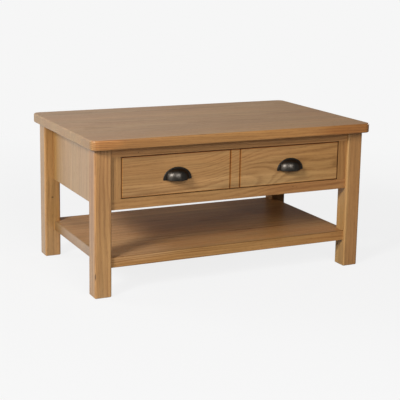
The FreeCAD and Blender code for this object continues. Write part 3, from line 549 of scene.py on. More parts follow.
def timber(name, wood, node, board, seed):
    """Solid wood: rings round a wandering heart, pores, fibres and staves, with the board's own marks, some
    of them painted light and shade.
    """
    material, graph = new_material(name)
    low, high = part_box(node)
    object_place = graph.add("ShaderNodeTexCoord", {}, {}, "Object")
    local = graph.add("ShaderNodeMapping", {"vector_type": "TEXTURE"}, {
        "Vector": object_place, "Location": (low + high) / 2, "Rotation": GRAIN_TURN[board.grain]})
    along, across, through = graph.parts(local)
    tone = 1.0
    if board.stave:
        stave = graph.math("FLOOR", across / board.stave)
        chance = graph.add("ShaderNodeTexWhiteNoise", {"noise_dimensions": "1D"},
                           {"W": stave + seed}, "Color")
        chance_along, chance_heart, chance_tone = graph.parts(chance)
        across = across - (stave + 0.5) * board.stave + (chance_heart - 0.5) * board.stave
        along = along + chance_along * STAVE_SHIFT
        tone = chance_tone * 0.1 + 0.95
    place = graph.joined(along, across, through)

    distance = ring_distance(graph, wood, board, along, across, through, seed)
    uneven = graph.add("ShaderNodeTexNoise", {"noise_dimensions": "1D"},
                       {"W": distance * UNEVEN_RATE, "Scale": 1.0, "Detail": 1.0})
    phase = graph.math("FRACT", distance / wood.ring + uneven * UNEVEN_RINGS)
    line = graph.ramp(phase, RING_STOPS)
    strength = graph.rise(graph.noise(place, STRENGTH, seed), 0.3, 0.7)
    fibre = graph.noise(place, FIBRE, seed)
    pores = graph.rise(graph.noise(place, PORE, seed), 0.56, 0.7)
    cloud = graph.noise(place, CLOUD, seed)
    streak = graph.noise(place, STREAK, seed)
    hue = graph.rise(graph.noise(place, HUE, seed), 0.3, 0.7)

    dark = (line * (strength * 0.6 + 0.25) - 0.25) * board.figure + (fibre - 0.5) * 1.1 + 0.3
    shown = graph.mix(dark, opaque(wood.late), opaque(wood.early))
    shown = graph.mix(pores * (line * 0.4 + 0.18), shown, opaque(wood.pore))
    level = (cloud * 0.24 + 0.88) * ((streak - 0.5) * board.streak + 1) * tone
    shown = graph.vector("MULTIPLY", graph.scaled(shown, level), board.tint)
    shown = graph.vector("MULTIPLY", shown, graph.mix(hue, OLIVE_TINT, WARM_TINT))
    shown = marked(graph, shown, wood, board, node, object_place, fibre)
    height = pores * -0.6 + line * -0.25 + fibre * 0.3
    normal = graph.add("ShaderNodeBump", {}, {"Height": height, "Distance": wood.depth, "Strength": 0.6})
    surface(graph, {
        "Base Color": shown,
        "Roughness": pores * 0.12 + line * 0.05 + wood.roughness,
        "Normal": normal,
        "Specular IOR Level": board.gloss,
        "Coat Weight": end_coat(graph, board, node, object_place) if board.end_coat else 0.0,
        "Coat Roughness": wood.roughness,
    })
    return material


OAK_BOARDS = {
    "top_panel": Board(
        "X", (0.0, -0.045), (0.02, 0.012), (0.98, 1.0, 1.0), 0.8, gloss=0.5, stave=0.0917, lipping=0.004,
        patches=(
            # Right end of the front edge, the whole front edge, a painted highlight on its left end, and a
            # painted greyish sheen on the left edge
            Patch((0.45, -0.275, 0.436), (0.2, 0.01, 0.03), (0.82, 0.7, 0.58)),
            Patch((0.0, -0.275, 0.436), (ALL, 0.004, 0.03), (1.07, 1.05, 1.02)),
            Patch((-0.42, -0.275, 0.44), (0.07, 0.02, 0.02), (1.2, 1.13, 1.08)),
            Patch((-0.45, 0.0, 0.436), (0.004, ALL, 0.03), (0.84, 0.92, 1.0)),
        )),
    "shelf_panel": Board(
        "X", (0.0, 0.05), (0.015, 0.01), (0.99, 0.98, 1.0), gloss=0.03, stave=0.081, end_coat=1.0,
        patches=(
            # Painted shade along the front arris, painted light and sheen on the left end, painted light on
            # the left end of the front, painted shade in the rear right corner, and a darker left edge
            Patch((0.0, -0.2415, 0.112), (ALL, 0.0016, 0.0016), (0.5, 0.45, 0.4)),
            Patch((-0.403, 0.0, 0.112), (0.22, ALL, 0.02), (1.1, 1.18, 1.4)),
            Patch((-0.25, -0.22, 0.112), (0.14, 0.05, 0.02), (1.06, 1.12, 1.2)),
            Patch((0.36, 0.2, 0.112), (0.2, 0.24, 0.02), (0.72, 0.66, 0.62)),
            Patch((-0.403, 0.0, 0.097), (0.003, ALL, 0.03), (0.66, 0.66, 0.55)),
        )),
    "drawer_front": Board(
        "X", (0.085, -0.11), (0.0, -0.03), (1.0, 1.02, 1.06), 0.75, 1.3, streak=0.6, seam=0.0022,
        swerve=(-0.12, 0.2, -0.03, -0.105),
        patches=(
            # Painted shade on the left end of the face, painted floor light along its lower edge, and the
            # right end of the face
            Patch((-0.33, -0.243, 0.35), (0.12, 0.03, 0.12), (0.9, 0.9, 0.9)),
            Patch((0.0, -0.243, 0.285), (0.6, 0.03, 0.035), (1.12, 1.18, 1.26)),
            Patch((0.36, -0.243, 0.336), (0.2, 0.03, 0.1), (1.0, 0.97, 0.88)),
            # Painted shade in the two grooves and along the upper, lower and right arrises, and painted
            # light along the left arris
            Patch((-0.016, -0.243, 0.336), (0.004, 0.005, ALL), (0.95, 0.75, 0.45)),
            Patch((0.016, -0.243, 0.336), (0.004, 0.005, ALL), (0.95, 0.75, 0.45)),
            Patch((0.0, -0.243, 0.3942), (ALL, 0.005, 0.0025), (0.7, 0.45, 0.2)),
            Patch((0.0, -0.243, 0.2788), (ALL, 0.005, 0.0025), (0.9, 0.65, 0.35)),
            Patch((-0.3522, -0.243, 0.336), (0.0025, 0.005, ALL), (1.3, 1.1, 0.6)),
            Patch((0.3522, -0.243, 0.336), (0.003, 0.005, ALL), (0.45, 0.25, 0.1)),
        )),
    "front_top_rail": Board(
        "X", (0.05, 0.03), (0.01, 0.015), (1.09, 1.06, 1.08), 0.6,
        knots=(Knot((-0.303, -0.2432, 0.405), (0.003, 0.004, 0.0016)),)),
    "front_bottom_rail": Board(
        "X", (0.06, -0.03), (0.02, -0.01), (1.05, 1.06, 1.07), 0.6,
        knots=(
            Knot((0.197, -0.2432, 0.268), (0.006, 0.004, 0.0016)),
            Knot((0.21, -0.2432, 0.265), (0.004, 0.004, 0.0014)),
        ),
        patches=(Patch((0.33, -0.243, 0.262), (0.26, 0.03, 0.05), (0.92, 0.84, 0.8)),)),
    "front_stile_left": Board("Z", (0.05, 0.04), (0.02, 0.01), (0.92, 0.92, 0.94), 0.5),
    "front_stile_right": Board(
        "Z", (0.06, -0.03), (0.01, 0.02), (0.92, 0.86, 0.78), 0.6,
        # Painted shade on the inner face, in the gap beside the drawer
        patches=(Patch((0.354, -0.232, 0.3365), (0.0008, 0.01, 0.2), (0.25, 0.2, 0.15)),)),
    # Its bluish tint is a painted sheen on top of its gloss, and its patch by the back leg a painted warm
    # reflection of that leg
    "side_apron_left": Board(
        "Z", (0.03, -0.09), (0.02, 0.01), (0.91, 1.03, 1.17), 0.3, gloss=0.8, stave=0.11,
        patches=(Patch((-0.405, 0.2, 0.335), (0.02, 0.035, 0.3), (1.12, 1.03, 0.8)),)),
    # Its bluish tint is a painted sheen, as on the left apron
    "side_apron_right": Board(
        "Z", (0.02, 0.09), (0.02, 0.01), (0.91, 1.03, 1.17), 0.3, gloss=0.8, stave=0.11),
    "back_apron": Board("X", (-0.07, 0.03), (0.01, 0.02), figure=0.7),
    "leg_front_left": Board(
        "Z", (0.045, -0.05), (0.012, 0.02), (0.94, 0.95, 0.99), 0.6, gloss=0.6, streak=1.2,
        knots=(Knot((-0.4325, -0.2495, 0.064), (0.003, 0.003, 0.014)),),
        patches=(
            # Left arris, and painted floor light on the foot
            Patch((-0.432, -0.251, 0.2), (0.02, 0.02, 0.4), (1.05, 1.03, 1.0)),
            Patch((-0.409, -0.251, 0.03), (0.06, 0.06, 0.17), (1.1, 1.13, 1.14)),
        )),
    "leg_front_right": Board(
        "Z", (0.05, 0.04), (0.015, -0.01), (0.95, 0.92, 0.89), 0.4, gloss=0.6, streak=0.6,
        # Painted light on the inner face under the rail
        patches=(Patch((0.384, -0.226, 0.18), (0.012, 0.06, 0.3), (1.34, 1.54, 1.64)),)),
    # Its bluish tint is a painted sheen, and its patch painted light on its front face
    "leg_back_left": Board(
        "Z", (0.05, -0.03), (-0.01, 0.02), (0.87, 0.97, 1.07), 0.6, gloss=0.7, streak=1.0,
        knots=(Knot((-0.41, 0.2005, 0.19), (0.006, 0.004, 0.004)),),
        patches=(Patch((-0.405, 0.201, 0.15), (0.06, 0.012, 0.4), (1.4, 1.28, 1.1)),)),
    # Its dark tint is painted shade
    "leg_back_right": Board(
        "Z", (-0.04, 0.05), (0.02, 0.012), (0.76, 0.75, 0.72), 0.5, gloss=0.1,
        knots=(Knot((0.41, 0.2005, 0.107), (0.005, 0.004, 0.004)),)),
}

INNER_BOARDS = {
    "drawer_side_left": Board("Y", (0.08, -0.03), (0.01, 0.03)),
    "drawer_side_right": Board("Y", (-0.08, 0.02), (0.01, -0.03)),
    "drawer_back": Board("X", (0.08, -0.02), (0.01, 0.03)),
    "drawer_batten": Board("Y", (0.02, -0.05), (0.01, 0.01)),
    "back_cleat": Board("X", (0.05, 0.04), (0.01, 0.01)),
    "drawer_runner_left": Board("Y", (0.04, 0.04), (0.01, 0.01)),
    "drawer_runner_right": Board("Y", (-0.04, 0.04), (0.01, 0.01)),
    "drawer_kicker_left": Board("Y", (0.03, -0.05), (0.01, 0.01)),
    "drawer_kicker_right": Board("Y", (-0.03, -0.05), (0.01, 0.01)),
    "rear_stop_left": Board("Z", (0.03, 0.03), (0.01, 0.01)),
    "rear_stop_right": Board("Z", (0.03, -0.03), (0.01, 0.01)),
    "pull_stop_left": Board("Z", (0.03, 0.03), (0.01, 0.01)),
    "pull_stop_right": Board("Z", (0.03, -0.03), (0.01, 0.01)),
    "shelf_dowels": Board("X", (0.0, -0.05), (0.01, 0.01)),
}


def finish_boards(boards, wood):
    """Give each board of a table its own wood."""
    for count, (node, board) in enumerate(boards.items(), start=1):
        paint(node, timber(node + "_wood", wood, node, board, count * SEED_STEP))


class TABLE_OT_oak_boards(bpy.types.Operator):
    """Finish the outer boards in lacquered oak"""

    bl_idname = "table.oak_boards"
    bl_label = "Oak Boards"

    def execute(self, context):
        finish_boards(OAK_BOARDS, context.scene.coffee_table.oak)
        return {"FINISHED"}


class TABLE_OT_inner_boards(bpy.types.Operator):
    """Finish the drawer box, the battens and the dowels in pale bare wood"""

    bl_idname = "table.inner_boards"
    bl_label = "Inner Boards"

    def execute(self, context):
        finish_boards(INNER_BOARDS, context.scene.coffee_table.inner)
        return {"FINISHED"}


PLY_BROAD = Noise((3, 30, 30), 2.0, 2.0)
PLY_FIBRE = Noise((7, 420, 420), 4.0, 3.0)
PLY_RINGS = 9
PLY_STOPS = ((0.0, 0.8), (0.2, 0.5), (0.7, 0.0), (1.0, 0.8))

# Depth of a fine relief in a bump, in metres
FINE = 0.0001


def plywood(name, ply, node):
    """Plywood: face veneers with fine grain, and layers that show at the edges."""
    material, graph = new_material(name)
    low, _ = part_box(node)
    place = graph.add("ShaderNodeTexCoord", {}, {}, "Object")
    local = graph.add("ShaderNodeMapping", {"vector_type": "TEXTURE"}, {"Vector": place, "Location": low})
    _, _, depth = graph.parts(local)
    crossed = graph.math("MODULO", graph.math("FLOOR", depth / ply.layer), 2.0)
    line = graph.ramp(graph.math("FRACT", graph.noise(local, PLY_BROAD) * PLY_RINGS), PLY_STOPS)
    fibre = graph.noise(local, PLY_FIBRE)
    shown = graph.mix(line * 0.4 + (fibre - 0.5) * 0.8 + 0.2, opaque(ply.face), opaque(ply.line))
    shown = graph.mix(crossed * 0.8, shown, opaque(ply.core))
    normal = graph.add("ShaderNodeBump", {}, {"Height": fibre, "Distance": FINE, "Strength": 0.5})
    surface(graph, {"Base Color": shown, "Roughness": fibre * 0.2 + 0.5, "Normal": normal})
    return material


class TABLE_OT_drawer_bottom(bpy.types.Operator):
    """Finish the drawer bottom in plywood"""

    bl_idname = "table.drawer_bottom"
    bl_label = "Drawer Bottom"

    def execute(self, context):
        veneer = plywood("drawer_bottom_ply", context.scene.coffee_table.ply, "drawer_bottom")
        paint("drawer_bottom", veneer)
        return {"FINISHED"}


# Cup handles

ARC_STEPS = 56
RISE_STEPS = 20
LIP_STEPS = 6
POST_STEPS = 24
RIM_ROUNDING = 0.45
HANDLE_CREASE = math.radians(40)
EDGE_TINT = (0.3, 0.3, 0.3, 1.0)

CAST_CLOUD = Noise((60, 60, 60), 1.0, 3.0)
CAST_GRAIN = Noise((900, 900, 900), 2.0, 2.0)

# Depths from the wall between which the metal grows brighter
RUBBED_FROM = -0.008
RUBBED_FULL = -0.026


def bronze(name, handle, middle):
    """Dark cast metal, rubbed brighter where the cup stands out."""
    material, graph = new_material(name)
    place = graph.add("ShaderNodeTexCoord", {}, {}, "Object")
    local = graph.add("ShaderNodeMapping", {"vector_type": "TEXTURE"},
                      {"Vector": place, "Location": middle})
    _, depth, _ = graph.parts(local)
    cloud = graph.noise(local, CAST_CLOUD)
    cast = graph.noise(local, CAST_GRAIN)
    rubbed = graph.rise(depth, RUBBED_FROM, RUBBED_FULL) * graph.rise(cloud, 0.35, 0.7)
    bright = rubbed * 0.35 + (cloud - 0.5) * 0.2
    shown = graph.mix(bright, opaque(handle.metal), opaque(handle.rubbed))
    normal = graph.add("ShaderNodeBump", {}, {"Height": cast, "Distance": FINE, "Strength": 0.35})
    surface(graph, {
        "Base Color": shown,
        "Metallic": 1.0,
        "Roughness": cloud * 0.16 + (handle.roughness - 0.08),
        "Normal": normal,
        "Specular Tint": EDGE_TINT,
        "Coat Weight": 0.12,
        "Coat Roughness": 0.25,
    })
    return material


def lattice(work, rows):
    """Quads between rows of points that all have the same count; gives the rows of vertices."""
    made = [[work.verts.new(point) for point in row] for row in rows]
    for first, second in zip(made, made[1:]):
        for i in range(len(first) - 1):
            work.faces.new((first[i], first[i + 1], second[i + 1], second[i]))
    return made


def arch_row(half, depth, rise, bow):
    """Points of a level bow in front of the wall."""
    points = []
    for i in range(ARC_STEPS + 1):
        turn = math.pi * i / ARC_STEPS
        across = math.copysign(abs(math.cos(turn)) ** (2 / bow), math.cos(turn))
        out = max(math.sin(turn), 0.0) ** (2 / bow)
        points.append(Vector((half * across, -depth * out, rise)))
    return points


def add_dome(work, half, depth, height, handle):
    """A hollow half dome with a full profile and a round lip, closed along the wall."""
    wall = handle.wall
    power = 2 / handle.fullness
    profile = [(1.0, 0.0)]
    for i in range(1, RISE_STEPS):
        turn = math.pi / 2 * i / RISE_STEPS
        profile.append((math.cos(turn) ** power, math.sin(turn) ** power))
    profile.append((0.0, 1.0))

    def shell(thinner):
        wide, deep, tall = half - thinner, depth - thinner, height - thinner
        return [arch_row(wide * out, deep * out, tall * up, handle.bow) for out, up in profile]

    lip = []
    for i in range(1, LIP_STEPS):
        turn = math.pi * i / LIP_STEPS
        inward = wall / 2 * (1 - math.cos(turn))
        lip.append(arch_row(half - inward, depth - inward, wall / -2 * math.sin(turn), handle.bow))
    rows = lattice(work, shell(0.0)[::-1] + lip + shell(wall))
    count = RISE_STEPS + 1
    outer = rows[:count][::-1]
    inner = rows[-count:]
    edge = rows[count - 1:-count + 1]
    for end in (0, -1):
        for i in range(count - 1):
            work.faces.new((outer[i][end], outer[i + 1][end], inner[i + 1][end], inner[i][end]))
        work.faces.new([row[end] for row in edge])


def add_rim(work, half, height, handle):
    """A flat rim with a rounded edge that is narrow above the cup and ends in two wide ears beside it."""
    thick = handle.rim_thickness
    soft = thick * RIM_ROUNDING
    inner = Vector((half - handle.wall, 0, height - handle.wall))
    outer = Vector((half + handle.ear_width, 0, height + handle.rim_width))
    ways = [math.pi * i / ARC_STEPS for i in range(ARC_STEPS + 1)]
    path = [(math.cos(turn), math.sin(turn), 0.0) for turn in ways]
    path = [(1.0, 0.0, -handle.ear_drop), *path, (-1.0, 0.0, -handle.ear_drop)]
    rows = []
    for across, up, drop in path:
        start = Vector((inner.x * across, 0, inner.z * up + drop))
        reach = Vector((outer.x * across, 0, outer.z * up + drop)) - start
        out = reach.normalized()
        section = [(0.0, 0.0), (0.0, -thick)]
        for i in range(LIP_STEPS + 1):
            turn = math.pi / 2 * i / LIP_STEPS
            outward = reach.length - soft + soft * math.sin(turn)
            section.append((outward, soft - thick - soft * math.cos(turn)))
        section += [(reach.length, 0.0), (0.0, 0.0)]
        rows.append([start + out * outward + Vector((0, y, 0)) for outward, y in section])
    made = lattice(work, rows)
    for end in (made[0], made[-1]):
        work.faces.new(end[:-1])


def add_post(work, x, z, radius, half, depth, height):
    """A screw post from the wall to the inside of the cup."""
    turns = [2 * math.pi * i / POST_STEPS for i in range(POST_STEPS + 1)]
    circle = [(x + radius * math.cos(turn), z + radius * math.sin(turn)) for turn in turns]

    def front(px, pz):
        left = 1 - (px / half) ** 2 - (pz / height) ** 2
        return -depth * math.sqrt(max(left, 0.0))

    back_row = [Vector((px, 0, pz)) for px, pz in circle]
    front_row = [Vector((px, front(px, pz), pz)) for px, pz in circle]
    rows = lattice(work, [back_row, front_row])
    for row in rows:
        work.faces.new(row[:-1])


def mesh_piece(name, work, material, body):
    """A finished piece from a bmesh: merged, facing outwards and riding on a body."""
    bmesh.ops.remove_doubles(work, verts=work.verts, dist=WELD)
    bmesh.ops.recalc_face_normals(work, faces=work.faces)
    mesh = bpy.data.meshes.new(name)
    work.to_mesh(mesh)
    work.free()
    mesh.materials.append(material)
    mesh.shade_smooth()
    mesh.set_sharp_from_angle(angle=HANDLE_CREASE)
    piece = bpy.data.objects.new(name, mesh)
    bpy.context.scene.collection.objects.link(piece)
    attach(piece, body)
    return piece


class TABLE_OT_cup_handles(bpy.types.Operator):
    """Cast the two cup handles"""

    bl_idname = "table.cup_handles"
    bl_label = "Cup Handles"

    def execute(self, context):
        handle = context.scene.coffee_table.handle
        for side in ("left", "right"):
            node = f"cup_handle_{side}"
            low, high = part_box(node)
            half = (high.x - low.x) / 2 - handle.ear_width
            depth = high.y - low.y
            height = high.z - low.z - handle.ear_drop - handle.rim_width
            middle = Vector(((low.x + high.x) / 2, high.y, low.z + handle.ear_drop))
            work = bmesh.new()
            add_dome(work, half, depth, height, handle)
            add_rim(work, half, height, handle)
            inside = handle.wall / 2
            for post in (-1, 1):
                add_post(work, post * handle.post_spacing / 2, handle.post_height, handle.post_diameter / 2,
                         half - inside, depth - inside, height - inside)
            bmesh.ops.translate(work, verts=work.verts, vec=middle)
            metal = bronze(f"bronze_{side}", handle, middle)
            piece = mesh_piece(f"cup_pull_{side}", work, metal, "drawer")
            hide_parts(node)
        return {"FINISHED"}


# Screws

PLATING = Noise((260, 260, 260), 3.0, 3.0)
SCREW_INPUTS = ("Shank Radius", "Length", "Head Radius", "Head Height", "Point", "Pitch", "Thread", "Slot")
SCREW_SIDES = 24
SCREW_CREASE = math.radians(35)


def solid_boxes(node):
    """The box of each separate solid of a CAD node."""
    work = bmesh.new()
    work.from_mesh(NODES[node].data)
    bmesh.ops.remove_doubles(work, verts=work.verts, dist=WELD)
    seen = set()
    boxes = []
    for start in work.verts:
        if start.index in seen:
            continue
        seen.add(start.index)
        waiting = [start]
        points = []
        while waiting:
            vertex = waiting.pop()
            points.append(vertex.co.copy())
            for edge in vertex.link_edges:
                other = edge.other_vert(vertex)
                if other.index not in seen:
                    seen.add(other.index)
                    waiting.append(other)
        boxes.append((Vector(map(min, *points)), Vector(map(max, *points))))
    work.free()
    return boxes


def steel(name, screw):
    """Zinc plated steel with dull patches."""
    material, graph = new_material(name)
    place = graph.add("ShaderNodeTexCoord", {}, {}, "Object")
    cloud = graph.noise(place, PLATING)
    shown = graph.mix(graph.rise(cloud, 0.35, 0.7), opaque(screw.steel), opaque(screw.dull))
    surface(graph, {"Base Color": shown, "Metallic": 1.0, "Roughness": cloud * 0.3 + 0.22})
    return material


def screw_tree(steps):
    """Geometry nodes that put one threaded cross-head screw on each point, along the point's aim."""
    tree = bpy.data.node_groups.new("cross_head_screws", "GeometryNodeTree")
    tree.interface.new_socket("Places", in_out="INPUT", socket_type="NodeSocketGeometry")
    for name in SCREW_INPUTS:
        tree.interface.new_socket(name, in_out="INPUT", socket_type="NodeSocketFloat")
    tree.interface.new_socket("Metal", in_out="INPUT", socket_type="NodeSocketMaterial")
    tree.interface.new_socket("Screws", in_out="OUTPUT", socket_type="NodeSocketGeometry")
    graph = Graph(tree)
    given = graph.add("NodeGroupInput").socket.node
    shank, reach, head, head_height, point, pitch, thread, slot = [
        Value(graph, given.outputs[name]) for name in SCREW_INPUTS]

    def cone(low_radius, high_radius, tall, base):
        """A round solid that stands on a height."""
        made = graph.add("GeometryNodeMeshCone", {"fill_type": "NGON"}, {
            "Vertices": SCREW_SIDES, "Radius Top": high_radius, "Radius Bottom": low_radius, "Depth": tall})
        return graph.add("GeometryNodeTransform", {},
                         {"Geometry": made, "Translation": graph.joined(0.0, 0.0, base)})

    core = shank - thread
    crown = cone(head * 0.7, head, head_height, head_height * -1)
    box_size = graph.joined(head * 1.1, slot, head_height)
    blade = graph.add("GeometryNodeMeshCube", {}, {"Size": box_size})
    cross = graph.add("GeometryNodeTransform", {}, {"Geometry": blade, "Rotation": (0, 0, math.pi / 2)})
    tool = graph.add("GeometryNodeMeshBoolean", {"operation": "UNION"},
                     {"Mesh 2": [blade, cross]}, "Mesh")
    tool = graph.add("GeometryNodeTransform", {},
                     {"Geometry": tool, "Translation": graph.joined(0.0, 0.0, head_height * -1)})
    crown = graph.add("GeometryNodeMeshBoolean", {"operation": "DIFFERENCE"},
                      {"Mesh 1": crown, "Mesh 2": tool}, "Mesh")
    body = cone(core, core, reach - point, 0.0)
    tip = cone(core, 0.0, point, reach - point)
    turns = (reach - point) / pitch
    spiral = graph.add("GeometryNodeCurveSpiral", {}, {
        "Resolution": steps, "Rotations": turns, "Start Radius": core, "End Radius": core,
        "Height": reach - point})
    ridge = graph.add("GeometryNodeCurvePrimitiveCircle", {"mode": "RADIUS"},
                      {"Resolution": 3, "Radius": thread})
    helix = graph.add("GeometryNodeCurveToMesh", {},
                      {"Curve": spiral, "Profile Curve": ridge, "Fill Caps": True})
    screw = graph.add("GeometryNodeJoinGeometry", {}, {"Geometry": [crown, body, tip, helix]})
    aim = graph.add("GeometryNodeInputNamedAttribute", {"data_type": "FLOAT_VECTOR"},
                    {"Name": "aim"}, "Attribute")
    turn = graph.add("FunctionNodeAlignRotationToVector", {"axis": "Z"}, {"Vector": aim})
    places = Value(graph, given.outputs["Places"])
    placed = graph.add("GeometryNodeInstanceOnPoints", {},
                       {"Points": places, "Instance": screw, "Rotation": turn})
    real = graph.add("GeometryNodeRealizeInstances", {}, {"Geometry": placed})
    painted = graph.add("GeometryNodeSetMaterial", {},
                        {"Geometry": real, "Material": Value(graph, given.outputs["Metal"])})
    graph.add("NodeGroupOutput", {}, {"Screws": painted})
    return tree


class ScrewGroup(NamedTuple):
    """A group of like screws: their node, body, direction, head and shank, in metres."""

    node: str
    body: str
    aim: tuple
    outward: bool
    head_height: float
    shank_radius: float
    point: float


SCREW_GROUPS = (
    ScrewGroup("top_screws", "frame", (0, 0, 1), False, 0.0025, 0.002, 0.005),
    ScrewGroup("runner_screws", "frame", (1, 0, 0), True, 0.0025, 0.002, 0.005),
    ScrewGroup("stop_screws", "frame", (1, 0, 0), True, 0.0025, 0.002, 0.005),
    ScrewGroup("handle_screws", "drawer", (0, -1, 0), False, 0.0025, 0.002, 0.002),
    ScrewGroup("bottom_screws", "drawer", (0, 0, 1), False, 0.002, 0.0015, 0.005),
)


def screw_places(group, boxes):
    """A mesh with a point under the head of each screw, and the way that each one aims."""
    points = []
    aims = []
    for low, high in boxes:
        middle = (low + high) / 2
        aim = Vector(group.aim)
        if group.outward and middle.x < 0:
            aim = -aim
        total = abs((high - low).dot(aim))
        points.append(middle + aim * (group.head_height - total / 2))
        aims.append(aim)
    mesh = bpy.data.meshes.new(group.node + "_places")
    mesh.from_pydata(points, [], [])
    attribute = mesh.attributes.new("aim", "FLOAT_VECTOR", "POINT")
    for item, aim in zip(attribute.data, aims):
        item.vector = aim
    return mesh, total


def piece_from_tree(name, places, tree, sizes, material, body):
    """A plain mesh piece from what a node tree makes on a mesh of places."""
    host = bpy.data.objects.new(name + "_host", places)
    bpy.context.scene.collection.objects.link(host)
    modifier = host.modifiers.new("screws", "NODES")
    modifier.node_group = tree
    for socket in tree.interface.items_tree:
        if socket.in_out == "INPUT" and socket.name in sizes:
            modifier[socket.identifier] = sizes[socket.name]
        if socket.in_out == "INPUT" and socket.name == "Metal":
            modifier[socket.identifier] = material
    graph = bpy.context.evaluated_depsgraph_get()
    mesh = bpy.data.meshes.new_from_object(host.evaluated_get(graph))
    host.modifiers.clear()
    bpy.data.objects.remove(host)
    if not mesh.polygons:
        raise RuntimeError(f"{name} came out empty")
    mesh.shade_smooth()
    mesh.set_sharp_from_angle(angle=SCREW_CREASE)
    piece = bpy.data.objects.new(name, mesh)
    bpy.context.scene.collection.objects.link(piece)
    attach(piece, body)
    return piece


class TABLE_OT_screws(bpy.types.Operator):
    """Turn the threaded cross-head screws"""

    bl_idname = "table.screws"
    bl_label = "Screws"

    def execute(self, context):
        screw = context.scene.coffee_table.screw
        tree = screw_tree(screw.thread_steps)
        metal = steel("screw_steel", screw)
        for group in SCREW_GROUPS:
            boxes = solid_boxes(group.node)
            places, total = screw_places(group, boxes)
            low, high = boxes[0]
            sizes = {
                "Shank Radius": group.shank_radius,
                "Length": total - group.head_height,
                "Head Radius": sorted(high - low)[0] / 2,
                "Head Height": group.head_height,
                "Point": group.point,
                "Pitch": screw.pitch,
                "Thread": screw.thread,
                "Slot": screw.slot,
            }
            piece = piece_from_tree(group.node + "_threaded", places, tree, sizes, metal, group.body)
            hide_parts(group.node)
        return {"FINISHED"}


# Studio

# Distances from the table between which its shadow on the floor fades
SHADOW_REACH = 0.8
SHADOW_END = 2.4
FLOOR_SIDES = 64


def area_lamp(name, place, target, side, power):
    """A square lamp that faces a point."""
    data = bpy.data.lights.new(name, "AREA")
    data.shape = "SQUARE"
    data.size = side
    data.energy = power
    lamp = bpy.data.objects.new(name, data)
    lamp.location = place
    aim = Vector(target) - Vector(place)
    lamp.rotation_euler = aim.to_track_quat("-Z", "Y").to_euler()
    lamp.visible_camera = False
    bpy.context.scene.collection.objects.link(lamp)


def seen_plainly(graph, way, stage):
    """1 for what is seen and 0 for light on the table; how bright the studio looks that way; its shine.

    To the camera the studio is plain. In a gloss its side behind the table shines and the camera's side
    is dim."""
    rays = graph.add("ShaderNodeLightPath").socket.node
    kinds = ("Is Camera Ray", "Is Glossy Ray", "Is Transmission Ray")
    straight, gloss, through = [Value(graph, rays.outputs[kind]) for kind in kinds]
    side = graph.add("ShaderNodeVectorMath", {"operation": "DOT_PRODUCT"},
                     {"Vector": graph.vector("NORMALIZE", way), "Vector_001": stage.mirror_side}, "Value")
    shine = graph.rise(side, -0.2, 0.8) * (stage.mirror_bright - stage.mirror_dim) + stage.mirror_dim
    plain = graph.math("MINIMUM", straight + through, 1.0)
    return graph.math("MINIMUM", plain + gloss, 1.0), plain + gloss * shine, shine


def paint_world(stage):
    """Plain backdrop for the camera and for reflections; dimmer, softer light for everything else."""
    world = bpy.data.worlds.new("studio")
    world.use_nodes = True
    world.node_tree.nodes.clear()
    bpy.context.scene.world = world
    graph = Graph(world.node_tree)
    way = graph.add("ShaderNodeTexCoord", {}, {}, "Generated")
    _, _, upward = graph.parts(way)
    seen, brightness, shine = seen_plainly(graph, way, stage)
    level = graph.rise(upward, 0.0, 0.6) * (stage.sky - stage.horizon) + stage.horizon
    light = graph.scaled((1, 1, 1), level * (shine * 0.5 + 0.7))
    soft = graph.add("ShaderNodeBackground", {}, {"Color": light}, "Background")
    view = graph.scaled(stage.backdrop, brightness)
    plain = graph.add("ShaderNodeBackground", {}, {"Color": view}, "Background")
    both = graph.add("ShaderNodeMixShader", {},
                     {"Fac": seen, "Shader": soft, "Shader_001": plain}, "Shader")
    graph.add("ShaderNodeOutputWorld", {}, {"Surface": both})


def floor_material(stage):
    """Pale floor that keeps a faint shadow of the table."""
    material, graph = new_material("floor")
    place = graph.add("ShaderNodeTexCoord", {}, {}, "Object")
    far = graph.rise(graph.size_of(place), SHADOW_REACH, SHADOW_END)
    share_here = far * (1 - stage.floor_share) + stage.floor_share
    seen, brightness, _ = seen_plainly(graph, place, stage)
    matt_colour = graph.mix(seen, opaque(stage.backdrop * stage.floor_light), opaque(stage.backdrop))
    matt = graph.add("ShaderNodeBsdfDiffuse", {}, {"Color": matt_colour}, "BSDF")
    view = graph.scaled(stage.backdrop, brightness)
    plain = graph.add("ShaderNodeEmission", {}, {"Color": view}, "Emission")
    both = graph.add("ShaderNodeMixShader", {},
                     {"Fac": seen * share_here, "Shader": matt, "Shader_001": plain}, "Shader")
    graph.add("ShaderNodeOutputMaterial", {}, {"Surface": both})
    return material


def add_floor(stage):
    """A round floor under the table's feet."""
    work = bmesh.new()
    bmesh.ops.create_circle(work, cap_ends=True, segments=FLOOR_SIDES, radius=stage.floor_radius)
    mesh = bpy.data.meshes.new("floor")
    work.to_mesh(mesh)
    work.free()
    mesh.materials.append(floor_material(stage))
    floor = bpy.data.objects.new("floor", mesh)
    floor.location.z = CAD_LOW.z
    bpy.context.scene.collection.objects.link(floor)


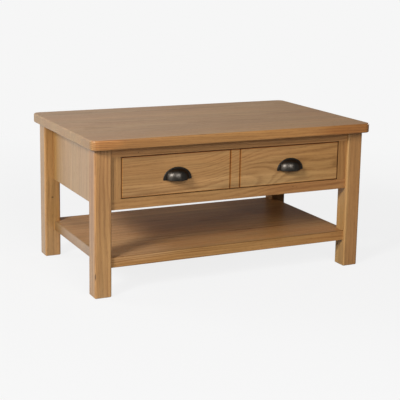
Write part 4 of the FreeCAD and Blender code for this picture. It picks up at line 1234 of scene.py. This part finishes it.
def add_camera(stage):
    """A camera at the photograph's place, angle and framing."""
    data = bpy.data.cameras.new("camera")
    data.sensor_width = SENSOR_WIDTH
    data.lens = stage.focal_pixels / IMAGE_SIZE * SENSOR_WIDTH
    data.shift_x = (IMAGE_SIZE / 2 - stage.centre_x) / IMAGE_SIZE
    data.shift_y = (stage.centre_y - IMAGE_SIZE / 2) / IMAGE_SIZE
    camera = bpy.data.objects.new("camera", data)
    level = Matrix.Rotation(math.pi / 2, 4, "X")
    turn = Matrix.Rotation(stage.yaw, 4, "Z") @ Matrix.Rotation(stage.pitch, 4, "X")
    turn = turn @ Matrix.Rotation(stage.roll, 4, "Y")
    camera.matrix_world = Matrix.Translation(stage.camera_place) @ turn @ level
    bpy.context.scene.collection.objects.link(camera)
    bpy.context.scene.camera = camera


class TABLE_OT_studio(bpy.types.Operator):
    """Set the floor, the lamps, the world and the camera"""

    bl_idname = "table.studio"
    bl_label = "Studio"

    def execute(self, context):
        stage = context.scene.coffee_table.stage
        middle = (CAD_LOW + CAD_HIGH) / 2
        add_floor(stage)
        paint_world(stage)
        area_lamp("key", stage.key_place, middle, stage.key_size, stage.key_power)
        area_lamp("fill", stage.fill_place, middle, stage.fill_size, stage.fill_power)
        area_lamp("rear", stage.rear_place, middle, stage.rear_size, stage.rear_power)
        area_lamp("side", stage.side_place, middle, stage.side_size, stage.side_power)
        add_camera(stage)
        context.scene.view_settings.view_transform = "Standard"
        return {"FINISHED"}


OPERATORS = (TABLE_OT_oak_boards, TABLE_OT_inner_boards, TABLE_OT_drawer_bottom, TABLE_OT_cup_handles,
             TABLE_OT_screws, TABLE_OT_studio)


class TABLE_PT_panel(bpy.types.Panel):
    """Buttons that make the table, in order"""

    bl_label = "Coffee Table"
    bl_idname = "TABLE_PT_panel"
    bl_space_type = "VIEW_3D"
    bl_region_type = "UI"
    bl_category = "Coffee Table"

    def draw(self, context):
        for operator in OPERATORS:
            self.layout.operator(operator.bl_idname)


CLASSES = (OakFinish, InnerWoodFinish, PlyFinish, HandleFinish, ScrewFinish, StageSettings, TableSettings,
           *OPERATORS, TABLE_PT_panel)


def register():
    for item in CLASSES:
        bpy.utils.register_class(item)
    bpy.types.Scene.coffee_table = PointerProperty(type=TableSettings)


def unregister():
    del bpy.types.Scene.coffee_table
    for item in reversed(CLASSES):
        bpy.utils.unregister_class(item)


def main():
    register()
    bpy.ops.table.oak_boards()
    bpy.ops.table.inner_boards()
    bpy.ops.table.drawer_bottom()
    bpy.ops.table.cup_handles()
    bpy.ops.table.screws()
    bpy.ops.table.studio()


if __name__ == "__main__":
    main()
